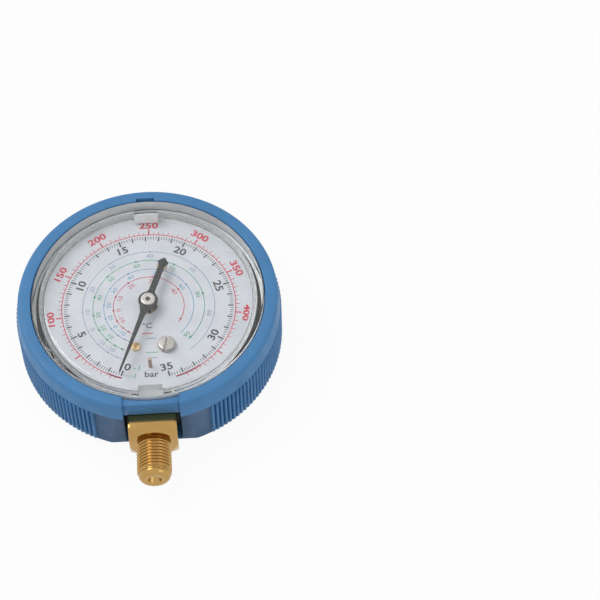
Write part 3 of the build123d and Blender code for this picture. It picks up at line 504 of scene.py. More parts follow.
def noise(tree, grain, detail=3.0, stretch=(1, 1, 1)):
    """Noise on object coordinates, its grain size in millimetres and stretched by axis."""
    where = add(tree, "ShaderNodeTexCoord").outputs["Object"]
    mapping = add(tree, "ShaderNodeMapping", {"Vector": where, "Scale": [s / MM for s in stretch]})
    looks = {"Vector": mapping.outputs[0], "Scale": 1 / grain, "Detail": detail}
    return add(tree, "ShaderNodeTexNoise", looks).outputs["Fac"]


def new_finish(name, base, roughness, tint=None, vary=None, relief=None, **values):
    """A Principled material: its plain values stand on the shader's own sockets, and noise drives the rest.

    tint starts with how far the colour goes darker and lighter, vary with what the roughness loses and
    gains, and relief with a bump's depth in millimetres. Each ends with its noise.
    """
    material = bpy.data.materials.new(name + "_finish")
    material.use_nodes = True
    tree = material.node_tree
    shader = principled(tree)
    for key, value in {"base_color": (*base, 1), "roughness": roughness, **values}.items():
        shader.inputs[key.replace("_", " ").title().replace("Ior", "IOR")].default_value = value
    if tint:
        spread, *grain = tint
        ramp = add(tree, "ShaderNodeValToRGB", {"Fac": noise(tree, *grain)})
        for element, place, gain in zip(ramp.color_ramp.elements, NOISE_RANGE, (1 - spread, 1 + spread)):
            fill(element, position=place, color=(*[min(1.0, c * gain) for c in base], 1))
        tree.links.new(ramp.outputs["Color"], shader.inputs["Base Color"])
    if vary:
        less, more, *grain = vary
        spread = add(tree, "ShaderNodeMapRange", {
            "Value": noise(tree, *grain), "From Min": NOISE_RANGE[0], "From Max": NOISE_RANGE[1],
            "To Min": roughness - less, "To Max": roughness + more,
        })
        tree.links.new(spread.outputs[0], shader.inputs["Roughness"])
    if relief:
        depth, *grain = relief
        bump = add(tree, "ShaderNodeBump", {
            "Height": noise(tree, *grain), "Distance": depth * MM, "Strength": 1.0,
        })
        tree.links.new(bump.outputs[0], shader.inputs["Normal"])
    return material


def moulded_rubber(name, base, roughness=0.5):
    return new_finish(name, base, roughness, (0.07, 9.0, 5.0), (0.07, 0.1, 4.0), (0.012, 0.35, 4.0),
                      specular_ior_level=0.45)


def turned_metal(name, base, roughness=0.25, stretch=(1, 1, 1), grain=1.6):
    """Metal with faint tool marks; stretch sets their run."""
    return new_finish(name, base, roughness, (0.06, grain * 3, 4.0, stretch),
                      (0.06, 0.09, grain, 4.0, stretch), (0.004, grain / 4, 2.0, stretch), metallic=1.0)


def painted_metal(name, base, roughness=0.4):
    return new_finish(name, base, roughness, (0.05, 6.0), relief=(0.006, 0.5))


def smooth_paint(name, base, roughness):
    return new_finish(name, base, roughness, (0.06, 6.0), (0.03, 0.04, 6.0), specular_ior_level=0.22)


def printed_ink(name, base):
    return new_finish(name, base, 0.55, (0.08, 0.6), specular_ior_level=0.3)


def satin_plastic(name, base):
    """The blasted sides of a clear moulding, which scatter the light."""
    return new_finish(name, base, 0.5, (0.08, 5.0, 4.0), relief=(0.01, 0.4), transmission_weight=0.08)


def clear_plastic(name, index):
    """Clear plastic whose shadow stays light."""
    material = new_finish(name, (0.985, 0.99, 0.99), 0.015, vary=(0.005, 0.015, 12.0), ior=index,
                          transmission_weight=1.0)
    tree = material.node_tree
    shadow = add(tree, "ShaderNodeLightPath").outputs["Is Shadow Ray"]
    through = add(tree, "ShaderNodeBsdfTransparent")
    mix_shaders(tree, shadow, principled(tree), through, tree.nodes["Material Output"])
    return material


FINISHES = {}


def make_finishes(gauge):
    """Makes every finish, named by the record's material slots and the inks."""
    looks = {
        "boot_rubber": (moulded_rubber, gauge.boot.paint),
        # a darker, greyer copy of the rubber paints the shade on the flats beside the stem; only its higher
        # roughness is the flats' own matt finish
        "boot_flats": (moulded_rubber, gauge.boot.flats, 0.62),
        "case_paint": (painted_metal, (0.012, 0.013, 0.015)),
        "lens_clear": (clear_plastic, gauge.lens.index),
        "lens_satin": (satin_plastic, (0.88, 0.9, 0.91)),
        "seal_rubber": (moulded_rubber, (0.62, 0.63, 0.63)),
        "plug_rubber": (moulded_rubber, (0.016, 0.016, 0.018), 0.55),
        "brass_body": (turned_metal, gauge.stem.brass, 0.13, (0.35, 2.2, 0.35)),
        "movement_brass": (turned_metal, (0.62, 0.42, 0.16), 0.3, (1, 0.25, 1)),
        "tube_bronze": (turned_metal, (0.55, 0.29, 0.13), 0.33),
        "brass_screw": (turned_metal, (0.74, 0.54, 0.27), 0.3),
        # the arbor's near-black grey, far darker than the movement's steel, is painted shade that stands in
        # for the shadow under the pointer's hub
        "arbor_steel": (turned_metal, (0.09, 0.09, 0.09), 0.35),
        "movement_steel": (turned_metal, (0.45, 0.43, 0.4), 0.3),
        "screw_steel": (turned_metal, (0.45, 0.43, 0.4), 0.3, (1, 1, 0.3), 0.8),
        "dial_enamel": (painted_metal, gauge.dial.enamel, 0.45),
        "pointer_black": (smooth_paint, (0.009, 0.009, 0.01), 0.5),
        "bush_nickel": (turned_metal, (0.56, 0.54, 0.5), 0.28),
        "pin_bronze": (turned_metal, (0.42, 0.31, 0.24), 0.4),
    }
    for ink in ("red_ink", "black_ink", "green_ink", "blue_ink", "slate_ink"):
        looks[ink] = (printed_ink, getattr(gauge.dial, ink))
    for name, (make, *look) in looks.items():
        FINISHES[name] = make(name, *look)


NODE_FINISHES = {
    "boot_rubber": ["boot"],
    "case_paint": ["case"],
    "lens_clear": ["lens"],
    "seal_rubber": ["lens_gasket"],
    "plug_rubber": ["vent_plug"],
    "brass_body": ["socket"],
    "movement_brass": ["back_plate", "front_plate", "pillars", "dial_posts", "calibration_bracket",
                       "spring_stud", "sector_gear", "spring_collet", "tube_end"],
    "tube_bronze": ["hairspring", "bourdon_tube"],
    "brass_screw": ["restrictor", "plate_screws", "dial_screws"],
    "arbor_steel": ["pinion_arbor"],
    "movement_steel": ["sector_staff", "tail_pivot", "tip_pivot", "link"],
    "screw_steel": ["movement_screws", "case_screws", "calibration_screw"],
    "dial_enamel": ["dial"],
    "pointer_black": ["pointer"],
    "bush_nickel": ["pointer_bush"],
    "pin_bronze": ["stop_pin"],
}


# ---- operators
class GaugeOperator:
    """Shared behaviour of the gauge's operators."""

    bl_options = {"REGISTER", "UNDO"}

    def execute(self, context):
        self.build(context.scene.manifold_gauge)
        return {"FINISHED"}


class GAUGE_OT_movement(GaugeOperator, bpy.types.Operator):
    """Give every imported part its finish: the geared movement, the tube, the case and the fasteners"""

    bl_idname = "gauge.movement"
    bl_label = "Movement and Case"

    def build(self, gauge):
        make_finishes(gauge)
        for finish, nodes in NODE_FINISHES.items():
            for node in nodes:
                dress(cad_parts[node], FINISHES[finish])


class GAUGE_OT_boot(GaugeOperator, bpy.types.Operator):
    """Mould the rubber boot: the cup, its ring, window, bridge and pry slot, and its grip ribs"""

    bl_idname = "gauge.boot"
    bl_label = "Boot"

    def cup(self, boot, window_half):
        ring, bore, top = boot.ring_radius / MM, boot.ring_inner / MM, boot.ring_top / MM
        groove, ribs, base = boot.groove_radius / MM, boot.rib_radius / MM, boot.base_round / MM
        foot = arc((ribs - base, base), base, -90, degrees(asin((groove - ribs + base) / base)) - 90, 6)
        profile = rounded([
            (BACK_OPENING, BACK_WALL, 0.4), (BACK_OPENING, 0, 0.4), *foot, (groove, 1.5),
            (groove, RING_BOTTOM - 0.1), (ring + boot.ring_flare / MM, RING_BOTTOM + 0.05, 0.2),
            (ring, top, boot.ring_round / MM), (bore, top, 0.3), (bore, RING_LEDGE),
            (BOOT_INSIDE, RING_LEDGE), (BOOT_INSIDE, BACK_WALL, 3.0),
        ])
        cup = turned_piece("boot_cup", profile, dial_axis(), 288)
        panel, bend, past = -(ribs - boot.panel_depth / MM), 2.5, 6
        cut = [(panel, bend), (panel, RING_BOTTOM), (panel - past, RING_BOTTOM), (panel - past, -1),
               (panel + bend, -1)]
        cut += arc((panel + bend, bend), bend, -90, -180, 6)[:-1]
        across = prism_piece("panel_cut", cut, -20, 20, lambda y, z, x: Vector((x, y, z)) * MM)
        above, pry_half, pry_depth = 30, 2.7, 4
        window = box_piece("window_cut", (-window_half, -46, BACK_WALL), (window_half, -32, above))
        pry = box_piece("pry_cut", (-pry_half, 33.4, top - pry_depth), (pry_half, bore + 0.9, above))
        combine(cup, "DIFFERENCE", across, window, pry)
        side, inside = window_half + 0.2, BOOT_INSIDE + 0.8
        lean = degrees(asin(side / inside))
        outline = [(-side, panel), (side, panel), *arc((0, 0), inside, -90 + lean, -90 - lean, 14)]
        bridge = prism_piece("bridge", outline, RING_BOTTOM, top - 0.6)
        soften(bridge, 0.3)
        combine(cup, "UNION", bridge)
        return soften(cup, 0.22, 50)

    def rib(self, boot):
        """One rib at clock 3, lofted along the cup's outline with rounded ends."""
        ribs, depth = boot.rib_radius / MM, (boot.rib_radius - boot.groove_radius) / MM + 0.2
        base, top, bend = boot.base_round / MM, boot.rib_top / MM, 0.9
        pitch = 2 * pi * ribs / boot.rib_pitches
        crest, foot = boot.crest_share * pitch / 2, boot.foot_share * pitch / 2
        path = list(zip(arc((ribs - base, base), base, -72, 0, 4), range(-72, 1, 18)))
        path += zip(arc((ribs - bend, top - bend), bend, 0, 90, 4), (0, 22.5, 45, 67.5, 90))
        flank = [(-foot, depth), (-crest - 0.04, 0.32), (-crest + 0.1, 0.06)]
        section = [*flank, (0, 0), *[(-x, inset) for x, inset in reversed(flank)]]
        bm = bmesh.new()
        rows = []
        for (r, z), a in path:
            lean = Vector((cos(radians(a)), 0, sin(radians(a))))
            reach = min(1.0, r / ribs)
            row = []
            for side, inset in section:
                spot = Vector((r, side * reach, z)) - lean * inset
                if a > 45:
                    spot.z = min(spot.z, z)
                row.append(bm.verts.new(spot * MM))
            rows.append(row)
        for lower, upper in zip(rows, rows[1:]):
            for k in range(len(section)):
                after = (k + 1) % len(section)
                bm.faces.new((lower[k], lower[after], upper[after], upper[k]))
        bm.faces.new(rows[0])
        bm.faces.new(rows[-1][::-1])
        return closed_piece("boot_ribs", bm, 60)

    def build(self, gauge):
        boot = gauge.boot
        rubber = FINISHES["boot_rubber"]
        cup = dress(self.cup(boot, gauge.stem.square / MM / 2 + WINDOW_GAP), rubber)
        cup.data.materials.append(FINISHES["boot_flats"])
        plain = 2 * pi * (boot.rib_pitches - boot.rib_count) / 2 / boot.rib_pitches
        reach = (boot.groove_radius - 0.1 * MM) * sin(plain)
        # faces of the flats beside the stem take the rubber's painted-shade copy
        for face in cup.data.polygons:
            beside = abs(face.center.x) < reach and face.center.z < RING_BOTTOM * MM
            if beside and face.normal.y < -0.8 and face.center.y < -BOOT_INSIDE * MM:
                face.material_index = 1
        place_on(cup, "gauge", "boot_rubber", "boot")
        step = 360 / boot.rib_pitches
        first = -90 + (boot.rib_pitches - boot.rib_count + 1) / 2 * step
        ribs = repeat_round(self.rib(boot), rubber, boot.rib_count, first, step, angle=60)
        place_on(dress(ribs, rubber), "gauge", "boot_rubber", "boot")


class GAUGE_OT_stem(GaugeOperator, bpy.types.Operator):
    """Turn the brass stem: its square with the turned chamfer, relief, thread, nose and port"""

    bl_idname = "gauge.stem"
    bl_label = "Stem"

    def square(self, stem):
        width, end = stem.square / MM, stem.chamfer_radius / MM
        half, corner = width / 2, 0.3
        outline = [(-half, -half, corner), (half, -half, corner), (half, half, corner), (-half, half, corner)]
        block = prism_piece("stem_square", rounded(outline, 3), SQUARE_START, SQUARE_END,
                            lambda x, z, h: Vector((x, -h, STEM_AXIS + z)) * MM)
        run = (width - end) * tan(stem.chamfer_turn)
        cone = [(0, SQUARE_START - 1), (width, SQUARE_START - 1), (width, SQUARE_END - run),
                (end, SQUARE_END), (0, SQUARE_END)]
        return combine(block, "INTERSECT", turned_piece("chamfer", cone, stem_axis, 128))

    def thread(self, bm, stem, columns):
        """The helical thread surface between its two end rings."""
        crest, depth, pitch = stem.thread_radius / MM, stem.thread_depth / MM, stem.thread_pitch / MM
        form = (0.0, 0.0, 0.25, 0.62, 0.94, 1.0, 0.94, 0.62, 0.25, 0.0)
        rows = round((THREAD_END - THREAD_START) / pitch * len(form)) + len(form)
        fade_in, fade_out = 0.4 * pitch, 0.5 * pitch
        grid = []
        for row in range(rows + 1):
            line = []
            for column in range(columns + 1):
                h = THREAD_START + (row / len(form) + column / columns - 1) * pitch
                h = min(THREAD_END, max(THREAD_START, h))
                fade = min(1, (h - THREAD_START) / fade_in, (THREAD_END - h) / fade_out)
                r = crest - depth + form[row % len(form)] * depth * max(0, fade)
                line.append(bm.verts.new(stem_axis(r, h, 2 * pi * column / columns)))
            grid.append(line)
        for lower, upper in zip(grid, grid[1:]):
            for k in range(columns):
                bm.faces.new((lower[k], lower[k + 1], upper[k + 1], upper[k]))

    def shank(self, stem):
        """The relief, thread, nose and port as one shell, from its lap in the square to the nose."""
        columns, lap = 96, 0.4
        core, groove = (stem.thread_radius - stem.thread_depth) / MM, stem.relief_radius / MM
        nose, bend, port = stem.nose_radius / MM, stem.nose_round / MM, stem.port_radius / MM
        bm = bmesh.new()
        lathe(bm, [(0, SQUARE_END - lap), (groove, SQUARE_END - lap), (groove, THREAD_START - 0.05),
                   (core, THREAD_START)], stem_axis, columns, closed=False)
        self.thread(bm, stem, columns)
        port_end = NOSE_END - PORT_LENGTH
        lathe(bm, [
            (core, THREAD_END), (nose - 0.06, THREAD_END + 0.03),
            *arc((nose - bend, NOSE_END - bend), bend, 0, 90, 10),
            (port + PORT_CHAMFER, NOSE_END), (port, NOSE_END - PORT_CHAMFER), (port, port_end),
            (PASSAGE_RADIUS, port_end), (PASSAGE_RADIUS, PASSAGE_START), (0, PASSAGE_START),
        ], stem_axis, columns, closed=False)
        return closed_piece("stem", bm, 50)

    def inner_block(self):
        """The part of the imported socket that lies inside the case, closed where the square begins."""
        bm = bmesh.new()
        bm.from_mesh(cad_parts["socket"].data)
        bmesh.ops.remove_doubles(bm, verts=bm.verts, dist=1e-6)
        cut = box_piece("inner_cut", (-30, -SQUARE_START + 0.05, -5), (30, 30, 30))
        return combine(closed_piece("inner_block", bm), "INTERSECT", cut)

    def build(self, gauge):
        square = soften(self.square(gauge.stem), 0.12, 30)
        # the neck laps into the square and into the block behind it
        lap, half = 0.5, 5.5
        neck = box_piece("neck", (-half, -SQUARE_START - lap, 5.4), (half, -SQUARE_START + lap, 13.8))
        body = join(self.shank(gauge.stem), square, self.inner_block(), neck)
        smooth(body, 40)
        place_on(dress(body, FINISHES["brass_body"]), "gauge", "brass_body", "socket")


class GAUGE_OT_lens(GaugeOperator, bpy.types.Operator):
    """Mould the clear lens with its snap rim and two grip tabs"""

    bl_idname = "gauge.lens"
    bl_label = "Lens"

    def build(self, gauge):
        lens = gauge.lens
        outer, inner = lens.radius / MM, lens.radius / MM - lens.wall / MM
        # rings beside the roundings keep the shading of the flat faces flat
        beside_edge, beside_bend = 1.0, 2.6
        profile = rounded([
            (0, LENS_TOP), (outer - beside_edge, LENS_TOP), (outer, LENS_TOP, lens.edge_round / MM),
            (outer, LENS_TOP - beside_edge), (outer, LENS_SEAT), (SKIRT_OUTER, LENS_SEAT),
            (SKIRT_OUTER, LENS_SEAT - SKIRT_DEPTH), (SKIRT_INNER, LENS_SEAT - SKIRT_DEPTH),
            (inner, LENS_SEAT), (inner, LENS_UNDER, lens.inner_round / MM),
            (inner - beside_bend, LENS_UNDER), (0, LENS_UNDER),
        ])
        plate = turned_piece("lens_cover", profile, dial_axis(), 256)
        half, lap = lens.tab_width / MM / 2, 0.3
        tabs = []
        for side in (-1, 1):
            low, high = sorted((side * (inner - 2.25), side * (inner + lap)))
            tabs.append(box_piece("tab", (-half, low, DIAL_TOP + 0.3), (half, high, LENS_UNDER + lap)))
        combine(plate, "UNION", *tabs)
        dress(plate, FINISHES["lens_clear"]).data.materials.append(FINISHES["lens_satin"])
        for face in plate.data.polygons:
            reach = Vector(face.center[:2]).length / MM
            upright = abs(face.normal.z) < 0.3
            on_tab = abs(face.center.x) / MM <= half + 0.01 and inner - 2.3 < reach < inner - 0.1
            if upright and reach > outer - 0.1 or on_tab and face.center.z / MM < LENS_UNDER - 0.1:
                face.material_index = 1
        place_on(plate, "lens", "lens_clear", "lens")


CAP_HEIGHT = 0.73
ATMOSPHERE = 1.013
KELVIN = 273.15
# the first and last pressure figures stand a little aside of their ticks, in degrees
FIGURE_SHIFTS = {0: -2.2, 35: 0.2}
# by ink: arc radius, absolute bar at 0 °C, heat constant, first and last dot, first and last figure,
# start past zero and end in degrees, dot radius, and the height and place of the colour key's dash
TEMPERATURE_SCALES = {
    "red": (10.4, 7.98, 2379, (-30, 50), (-10, 40), (9, 485.0), 0.32, 2.2, (-0.6, -9.3)),
    "green": (16.4, 2.93, 2649, (-10, 90), (10, 90), (7, 497.0), 0.36, 2.2, (0.5, -15.9)),
    "blue": (13.2, 4.98, 2404, (-30, 60), (-10, 60), (4, 497.0), 0.28, 2.0, (0.4, -11.1)),
    "slate": (19.4, 6.05, 2372, (-40, 60), (-20, 60), (3, 503.0), 0.28, 2.0, (0.5, -17.8)),
}


class GAUGE_OT_dial(GaugeOperator, bpy.types.Operator):
    """Print the dial: the pressure scales, the temperature scales, their figures and the unit marks"""

    bl_idname = "gauge.dial"
    bl_label = "Dial Print"

    def build(self, gauge):
        dial = gauge.dial
        self.low = DIAL_TOP - 0.01
        self.high = DIAL_TOP + dial.ink_height / MM
        self.zero, self.psi, self.bar = map(degrees, (dial.zero_clock, dial.psi_turn, dial.bar_turn))
        self.finish_print("red", self.psi_print(dial.outer_scale / MM))
        self.finish_print("black", self.bar_print(dial.inner_scale / MM))
        self.finish_print("green", self.vacuum_print())
        self.finish_print("blue", [])
        self.finish_print("slate", [])

    def ticks(self, ink, count, step, inner, outer, width, skip=0, first=None):
        """A run of radial ticks from zero, as an object."""
        half = width / 2
        tick = box_piece("ticks", (-half, inner, self.low), (half, outer, self.high))
        start = self.zero if first is None else first
        return repeat_round(tick, FINISHES[ink], count, -start, -step, skip)

    def strip(self, radius, width, first, last):
        """A thin printed arc between two clock angles, as an object."""
        steps = max(4, int(abs(last - first) / 2.5))
        outside, inside = [
            [clock_place(first + (last - first) * k / steps, edge) for k in range(steps + 1)]
            for edge in (radius + width / 2, radius - width / 2)
        ]
        bm = bmesh.new()
        rows = [
            [bm.verts.new(Vector((*p, z)) * MM) for p in line]
            for line, z in zip((outside, outside, inside, inside), (self.low, self.high, self.high, self.low))
        ]
        for k in range(steps):
            for here, there in zip(rows, rows[1:] + rows[:1]):
                bm.faces.new((here[k], here[k + 1], there[k + 1], there[k]))
        bm.faces.new([row[0] for row in rows])
        bm.faces.new([row[-1] for row in rows][::-1])
        return closed_piece("strip", bm)

    def dot(self, spot, radius):
        profile = [(0, self.low), (radius, self.low), (radius, self.high), (0, self.high)]
        return turned_piece("dot", profile, dial_axis(spot), 10)

    def figure(self, text, height, spot, tilt=0.0, stretch=1.15, weight=0.0):
        """A figure or unit mark centred on a spot, tilted counter-clockwise in degrees, as an object."""
        half_thick = 0.5
        face = fill(bpy.data.curves.new("figure", "FONT"), body=text, size=1.0, resolution_u=3,
                    offset=weight, extrude=half_thick)
        letters = link_object("letters", face)
        mesh = evaluated_mesh(letters)
        bpy.data.objects.remove(letters)
        bpy.data.curves.remove(face)
        low, high = [[pick(v.co[k] for v in mesh.vertices) for k in range(2)] for pick in (min, max)]
        size = height / CAP_HEIGHT
        middle = Matrix.Translation((-(low[0] + high[0]) / 2, -(low[1] + high[1]) / 2, half_thick))
        scale = Matrix.Diagonal((size * stretch * MM, size * MM, (self.high - self.low) * MM, 1))
        place = Matrix.Translation(Vector((*spot, self.low)) * MM) @ Matrix.Rotation(radians(tilt), 4, "Z")
        mesh.transform(place @ scale @ middle)
        return link_object("figure", mesh)

    def scale_figure(self, text, height, clock, radius, **look):
        """A figure on a scale: its foot faces outward on the lower half of the dial, inward on the upper."""
        clock %= 360
        tilt = 180 - clock if 108 < clock < 252 else -clock
        return self.figure(text, height, clock_place(clock, radius), tilt, **look)

    def finish_print(self, ink, parts):
        """Joins one ink's parts and its temperature scale, and hands them over as one piece."""
        if ink in TEMPERATURE_SCALES:
            parts = parts + self.temperature_scale(*TEMPERATURE_SCALES[ink])
        bm = bmesh.new()
        bm.from_mesh(join(*parts).data)
        discard(parts[0])
        sheet = closed_piece("print_" + ink, bm, outward=False)
        sheet.data.shade_flat()
        place_on(dress(sheet, FINISHES[ink + "_ink"]), "gauge", "dial_enamel")

    def temperature_scale(self, radius, at_zero, heat, dots, figures, ends, dot, dash, dash_spot):
        """A vapour-pressure scale: dots at every ten degrees, figures inside the arc at some of them."""
        height, inset = 1.35, 1.45
        parts = [self.strip(radius, 0.2, self.zero + ends[0], ends[1])]
        for celsius in range(dots[0], dots[1] + 1, 10):
            bar = at_zero * exp(heat * (1 / KELVIN - 1 / (celsius + KELVIN))) - ATMOSPHERE
            clock = self.zero + self.bar * bar
            parts.append(self.dot(clock_place(clock, radius), dot))
            if figures[0] <= celsius <= figures[1]:
                parts.append(self.scale_figure(str(celsius), height, clock, radius - inset))
        return parts + [self.figure("-", dash, dash_spot, stretch=4.5)]

    def psi_print(self, ring):
        end = self.zero + 500 * self.psi + 1
        first_long = self.zero + 50 * self.psi
        parts = [
            self.strip(ring, 0.26, self.zero, end),
            self.strip(ring - 0.05, 0.5, self.zero - 1, self.zero + 9),
            self.strip(ring - 0.05, 0.5, end - 18, end),
            self.ticks("red_ink", 99, 5 * self.psi, ring, ring + 0.85, 0.17, 2),
            self.ticks("red_ink", 50, 10 * self.psi, ring, ring + 1.25, 0.2, 5),
            self.ticks("red_ink", 9, 50 * self.psi, ring, ring + 1.85, 0.42, first=first_long),
        ]
        for psi in range(100, 401, 50):
            clock = self.zero + psi * self.psi
            parts.append(self.scale_figure(str(psi), 2.15, clock, 28.9, stretch=1.3, weight=0.03))
        return parts

    def bar_print(self, rim):
        parts = [
            self.ticks("black_ink", 176, self.bar / 5, rim - 1.0, rim, 0.2, 5),
            self.ticks("black_ink", 36, self.bar, rim - 1.6, rim, 0.4, 5),
            self.ticks("black_ink", 8, 5 * self.bar, rim - 1.9, rim, 0.46),
        ]
        for bar in range(0, 36, 5):
            clock = self.zero + bar * self.bar + FIGURE_SHIFTS.get(bar, 0)
            parts.append(self.scale_figure(str(bar), 2.35, clock, 21.5, stretch=1.2, weight=0.022))
        parts.append(self.figure("°C", 1.9, (-0.6, -6.6), stretch=1.1, weight=0.004))
        parts.append(self.figure("bar", 1.95, (0.3, -23.3), stretch=1.15, weight=0.016))
        return parts

    def vacuum_print(self):
        rim, vacuum = 24.9, self.zero - self.bar
        return [
            self.ticks("green_ink", 4, self.bar / 5, 23.95, rim, 0.13, first=vacuum + self.bar / 5),
            self.ticks("green_ink", 1, 0, 23.3, rim, 0.26, first=vacuum),
            self.scale_figure("-1", 1.8, vacuum, 21.3),
        ]


# half outlines from the pointer's tip to its hub and from its hub to the tail's end
BLADE_EDGE = [(0.12, 25.7), (0.25, 25.35), (0.72, 7.0), (0.86, 5.2), (1.15, 4.0), (1.6, 3.1)]
TAIL_EDGE = [(0.95, -3.2), (0.95, -12.2), (1.65, -13.9), (0.5, -15.1), (0.12, -15.4)]


class GAUGE_OT_pointer(GaugeOperator, bpy.types.Operator):
    """Blank the pointer with its tapered blade, hub and arrow tail, and turn the bush that carries it"""

    bl_idname = "gauge.pointer"
    bl_label = "Pointer"

    def build(self, gauge):
        hub, seat = 2.9, POINTER_BOTTOM + 0.45
        tail_at = degrees(asin(TAIL_EDGE[0][0] / hub))
        round_hub = [clock_place(c, hub) for c in range(38, int(180 - tail_at) - 2, 8)]
        outline = BLADE_EDGE + round_hub + TAIL_EDGE
        outline += [(-x, y) for x, y in reversed(outline)]
        spin = Matrix.Rotation(-gauge.dial.zero_clock, 3, "Z")
        blade = prism_piece("pointer_blade", outline, POINTER_BOTTOM, seat,
                            lambda x, y, z: spin @ Vector((x, y, z)) * MM)
        bore = turned_piece("bore", [(0, 15), (1.12, 15), (1.12, 25), (0, 25)], dial_axis(), 48)
        combine(blade, "DIFFERENCE", bore)
        soften(blade, 0.09, 50)
        place_on(dress(blade, FINISHES["pointer_black"]), "pointer", "pointer_black", "pointer")
        foot, top, pin_hole = POINTER_BOTTOM - 1.0, POINTER_BOTTOM + 1.1, 0.62
        profile = rounded([
            (1.1, foot), (1.1, seat), (2.15, seat, 0.08), (2.15, top, 0.3), (0.75, top - 0.02, 0.1),
            (pin_hole, top - 0.28), (pin_hole, foot),
        ], 4)
        bush = turned_piece("pointer_cap", profile, dial_axis(), 96)
        place_on(dress(bush, FINISHES["bush_nickel"]), "pointer", "bush_nickel", "pointer_bush")


class GAUGE_OT_dial_fittings(GaugeOperator, bpy.types.Operator):
    """Turn the screws that stand on the dial"""

    bl_idname = "gauge.dial_fittings"
    bl_label = "Dial Fittings"

    def cross_screw(self, clock, radius, tilt):
        """A small pan-head screw with a cross recess."""
        spot, seat = clock_place(clock, radius), HEAD_SEAT
        head = [(0, seat), (1.4, seat), (1.4, seat + 0.45, 0.12), (0.95, seat + 0.8, 0.2), (0, seat + 0.82)]
        screw = turned_screw("dial_screw", spot, 0.7, DIAL_SCREW_FOOT, head, 48)
        bars = [prism_piece("recess", bar_outline(0.85, 0.19, spot, tilt + quarter), seat + 0.3, seat + 1.2)
                for quarter in (0, 90)]
        return combine(screw, "DIFFERENCE", *bars)

    def build(self, gauge):
        screws = join(*[self.cross_screw(*place) for place in DIAL_SCREW_PLACES])
        screws.name = "dial_screw_pair"
        smooth(screws)
        place_on(dress(screws, FINISHES["brass_screw"]), "gauge", "brass_screw", "dial_screws")
        *place, tilt = CALIBRATION_PLACE
        spot, seat, top = clock_place(*place), HEAD_SEAT + 0.15, HEAD_SEAT + 1.65
        head = [(0, seat), (2.5, seat, 0.12), (2.5, top, 0.4), (0, top)]
        screw = turned_screw("calibration_head", spot, 0.95, CALIBRATION_FOOT, head, 96)
        slot = prism_piece("slot", bar_outline(3, 0.42, spot, tilt), HEAD_SEAT + 0.5, HEAD_SEAT + 2.5)
        combine(screw, "DIFFERENCE", slot)
        dress(screw, FINISHES["screw_steel"])
        place_on(screw, "calibration_screw", "screw_steel", "calibration_screw")


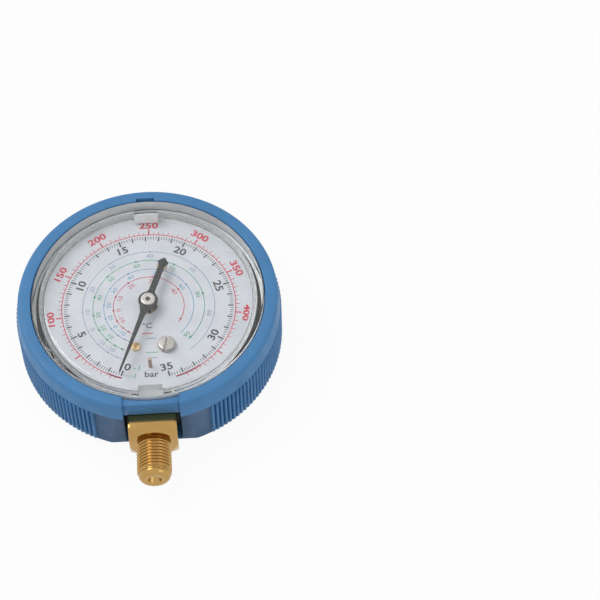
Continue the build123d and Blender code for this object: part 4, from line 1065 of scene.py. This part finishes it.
class GAUGE_OT_studio(GaugeOperator, bpy.types.Operator):
    """Set the camera, the soft lights and the pale floor"""

    bl_idname = "gauge.studio"
    bl_label = "Studio"

    def camera(self, studio):
        data = fill(bpy.data.cameras.new("gauge_camera"), sensor_width=36.0, lens=studio.focal,
                    clip_start=0.02, clip_end=20.0)
        camera = link_object("gauge_camera", data)
        rise, roll = studio.elevation, studio.roll
        back = Vector((0, -cos(rise), sin(rise)))
        up = Vector((0, sin(rise), cos(rise)))
        right = Vector((1, 0, 0))
        side = right * cos(roll) + up * sin(roll)
        top = up * cos(roll) - right * sin(roll)
        pose = Matrix((side, top, back)).transposed().to_4x4()
        pose.translation = back * studio.distance
        shift = Matrix.Translation((studio.offset_x, studio.offset_y, -studio.aim))
        camera.matrix_world = Matrix.Rotation(-studio.yaw, 4, "Z") @ shift.inverted() @ pose
        bpy.context.scene.camera = camera

    def lamp(self, name, place, power):
        """A round soft lamp that faces the gauge."""
        data = fill(bpy.data.lights.new(name, "AREA"), shape="DISK", size=0.5, energy=power)
        facing = (Vector((0, 0, 0.01)) - Vector(place)).to_track_quat("-Z", "Y")
        fill(link_object(name, data), location=place, rotation_mode="QUATERNION", rotation_quaternion=facing)

    def sky(self, studio):
        """Even light, with white for what the camera, mirrors and clear pieces see."""
        world = bpy.data.worlds.new("studio_sky")
        bpy.context.scene.world = world
        world.use_nodes = True
        tree = world.node_tree
        tree.nodes.clear()
        even, white = [
            add(tree, "ShaderNodeBackground", {"Color": WHITE, "Strength": strength})
            for strength in (studio.sky, 1.0)
        ]
        mix_shaders(tree, seen_rays(tree), even, white, add(tree, "ShaderNodeOutputWorld"))

    def floor(self, studio):
        """Pale paper just under the gauge, which glows for the rays that see it."""
        bm = bmesh.new()
        bmesh.ops.create_grid(bm, x_segments=1, y_segments=1, size=4.0)
        mesh = bpy.data.meshes.new("floor")
        bm.to_mesh(mesh)
        bm.free()
        mesh.transform(Matrix.Translation((0, 0, -0.00005)))
        floor = link_object("floor", mesh)
        material = new_finish("floor_paper", studio.floor, roughness=0.9, specular_ior_level=0.1)
        tree = material.node_tree
        glow = add(tree, "ShaderNodeEmission", {"Color": WHITE, "Strength": 1.0})
        seen = calculate(tree, "MULTIPLY", seen_rays(tree), 0.93)
        mix_shaders(tree, seen, principled(tree), glow, tree.nodes["Material Output"])
        dress(floor, material)

    def build(self, gauge):
        studio = gauge.studio
        self.camera(studio)
        self.sky(studio)
        self.floor(studio)
        self.lamp("key_lamp", (-0.45, 0.25, 0.75), studio.key)
        self.lamp("fill_lamp", (0.6, -0.5, 0.5), studio.fill)
        bpy.context.scene.view_settings.view_transform = "Standard"


class GAUGE_PT_panel(bpy.types.Panel):
    """Lists the gauge's operators"""

    bl_idname = "GAUGE_PT_panel"
    bl_label = "Manifold Gauge"
    bl_space_type = "VIEW_3D"
    bl_region_type = "UI"
    bl_category = "Gauge"

    def draw(self, context):
        for operator in OPERATORS:
            self.layout.operator(operator.bl_idname)


GROUPS = (GaugeBoot, GaugeLens, GaugeDial, GaugeStem, GaugeStudio, GaugeSettings)
OPERATORS = (
    GAUGE_OT_movement, GAUGE_OT_boot, GAUGE_OT_stem, GAUGE_OT_lens, GAUGE_OT_dial,
    GAUGE_OT_pointer, GAUGE_OT_dial_fittings, GAUGE_OT_studio,
)


def register():
    for made in (*GROUPS, *OPERATORS, GAUGE_PT_panel):
        bpy.utils.register_class(made)
    bpy.types.Scene.manifold_gauge = PointerProperty(type=GaugeSettings)


def unregister():
    del bpy.types.Scene.manifold_gauge
    for made in reversed((*GROUPS, *OPERATORS, GAUGE_PT_panel)):
        bpy.utils.unregister_class(made)


def main():
    register()
    for operator in OPERATORS:
        group, name = operator.bl_idname.split(".")
        getattr(getattr(bpy.ops, group), name)()


if __name__ == "__main__":
    main()
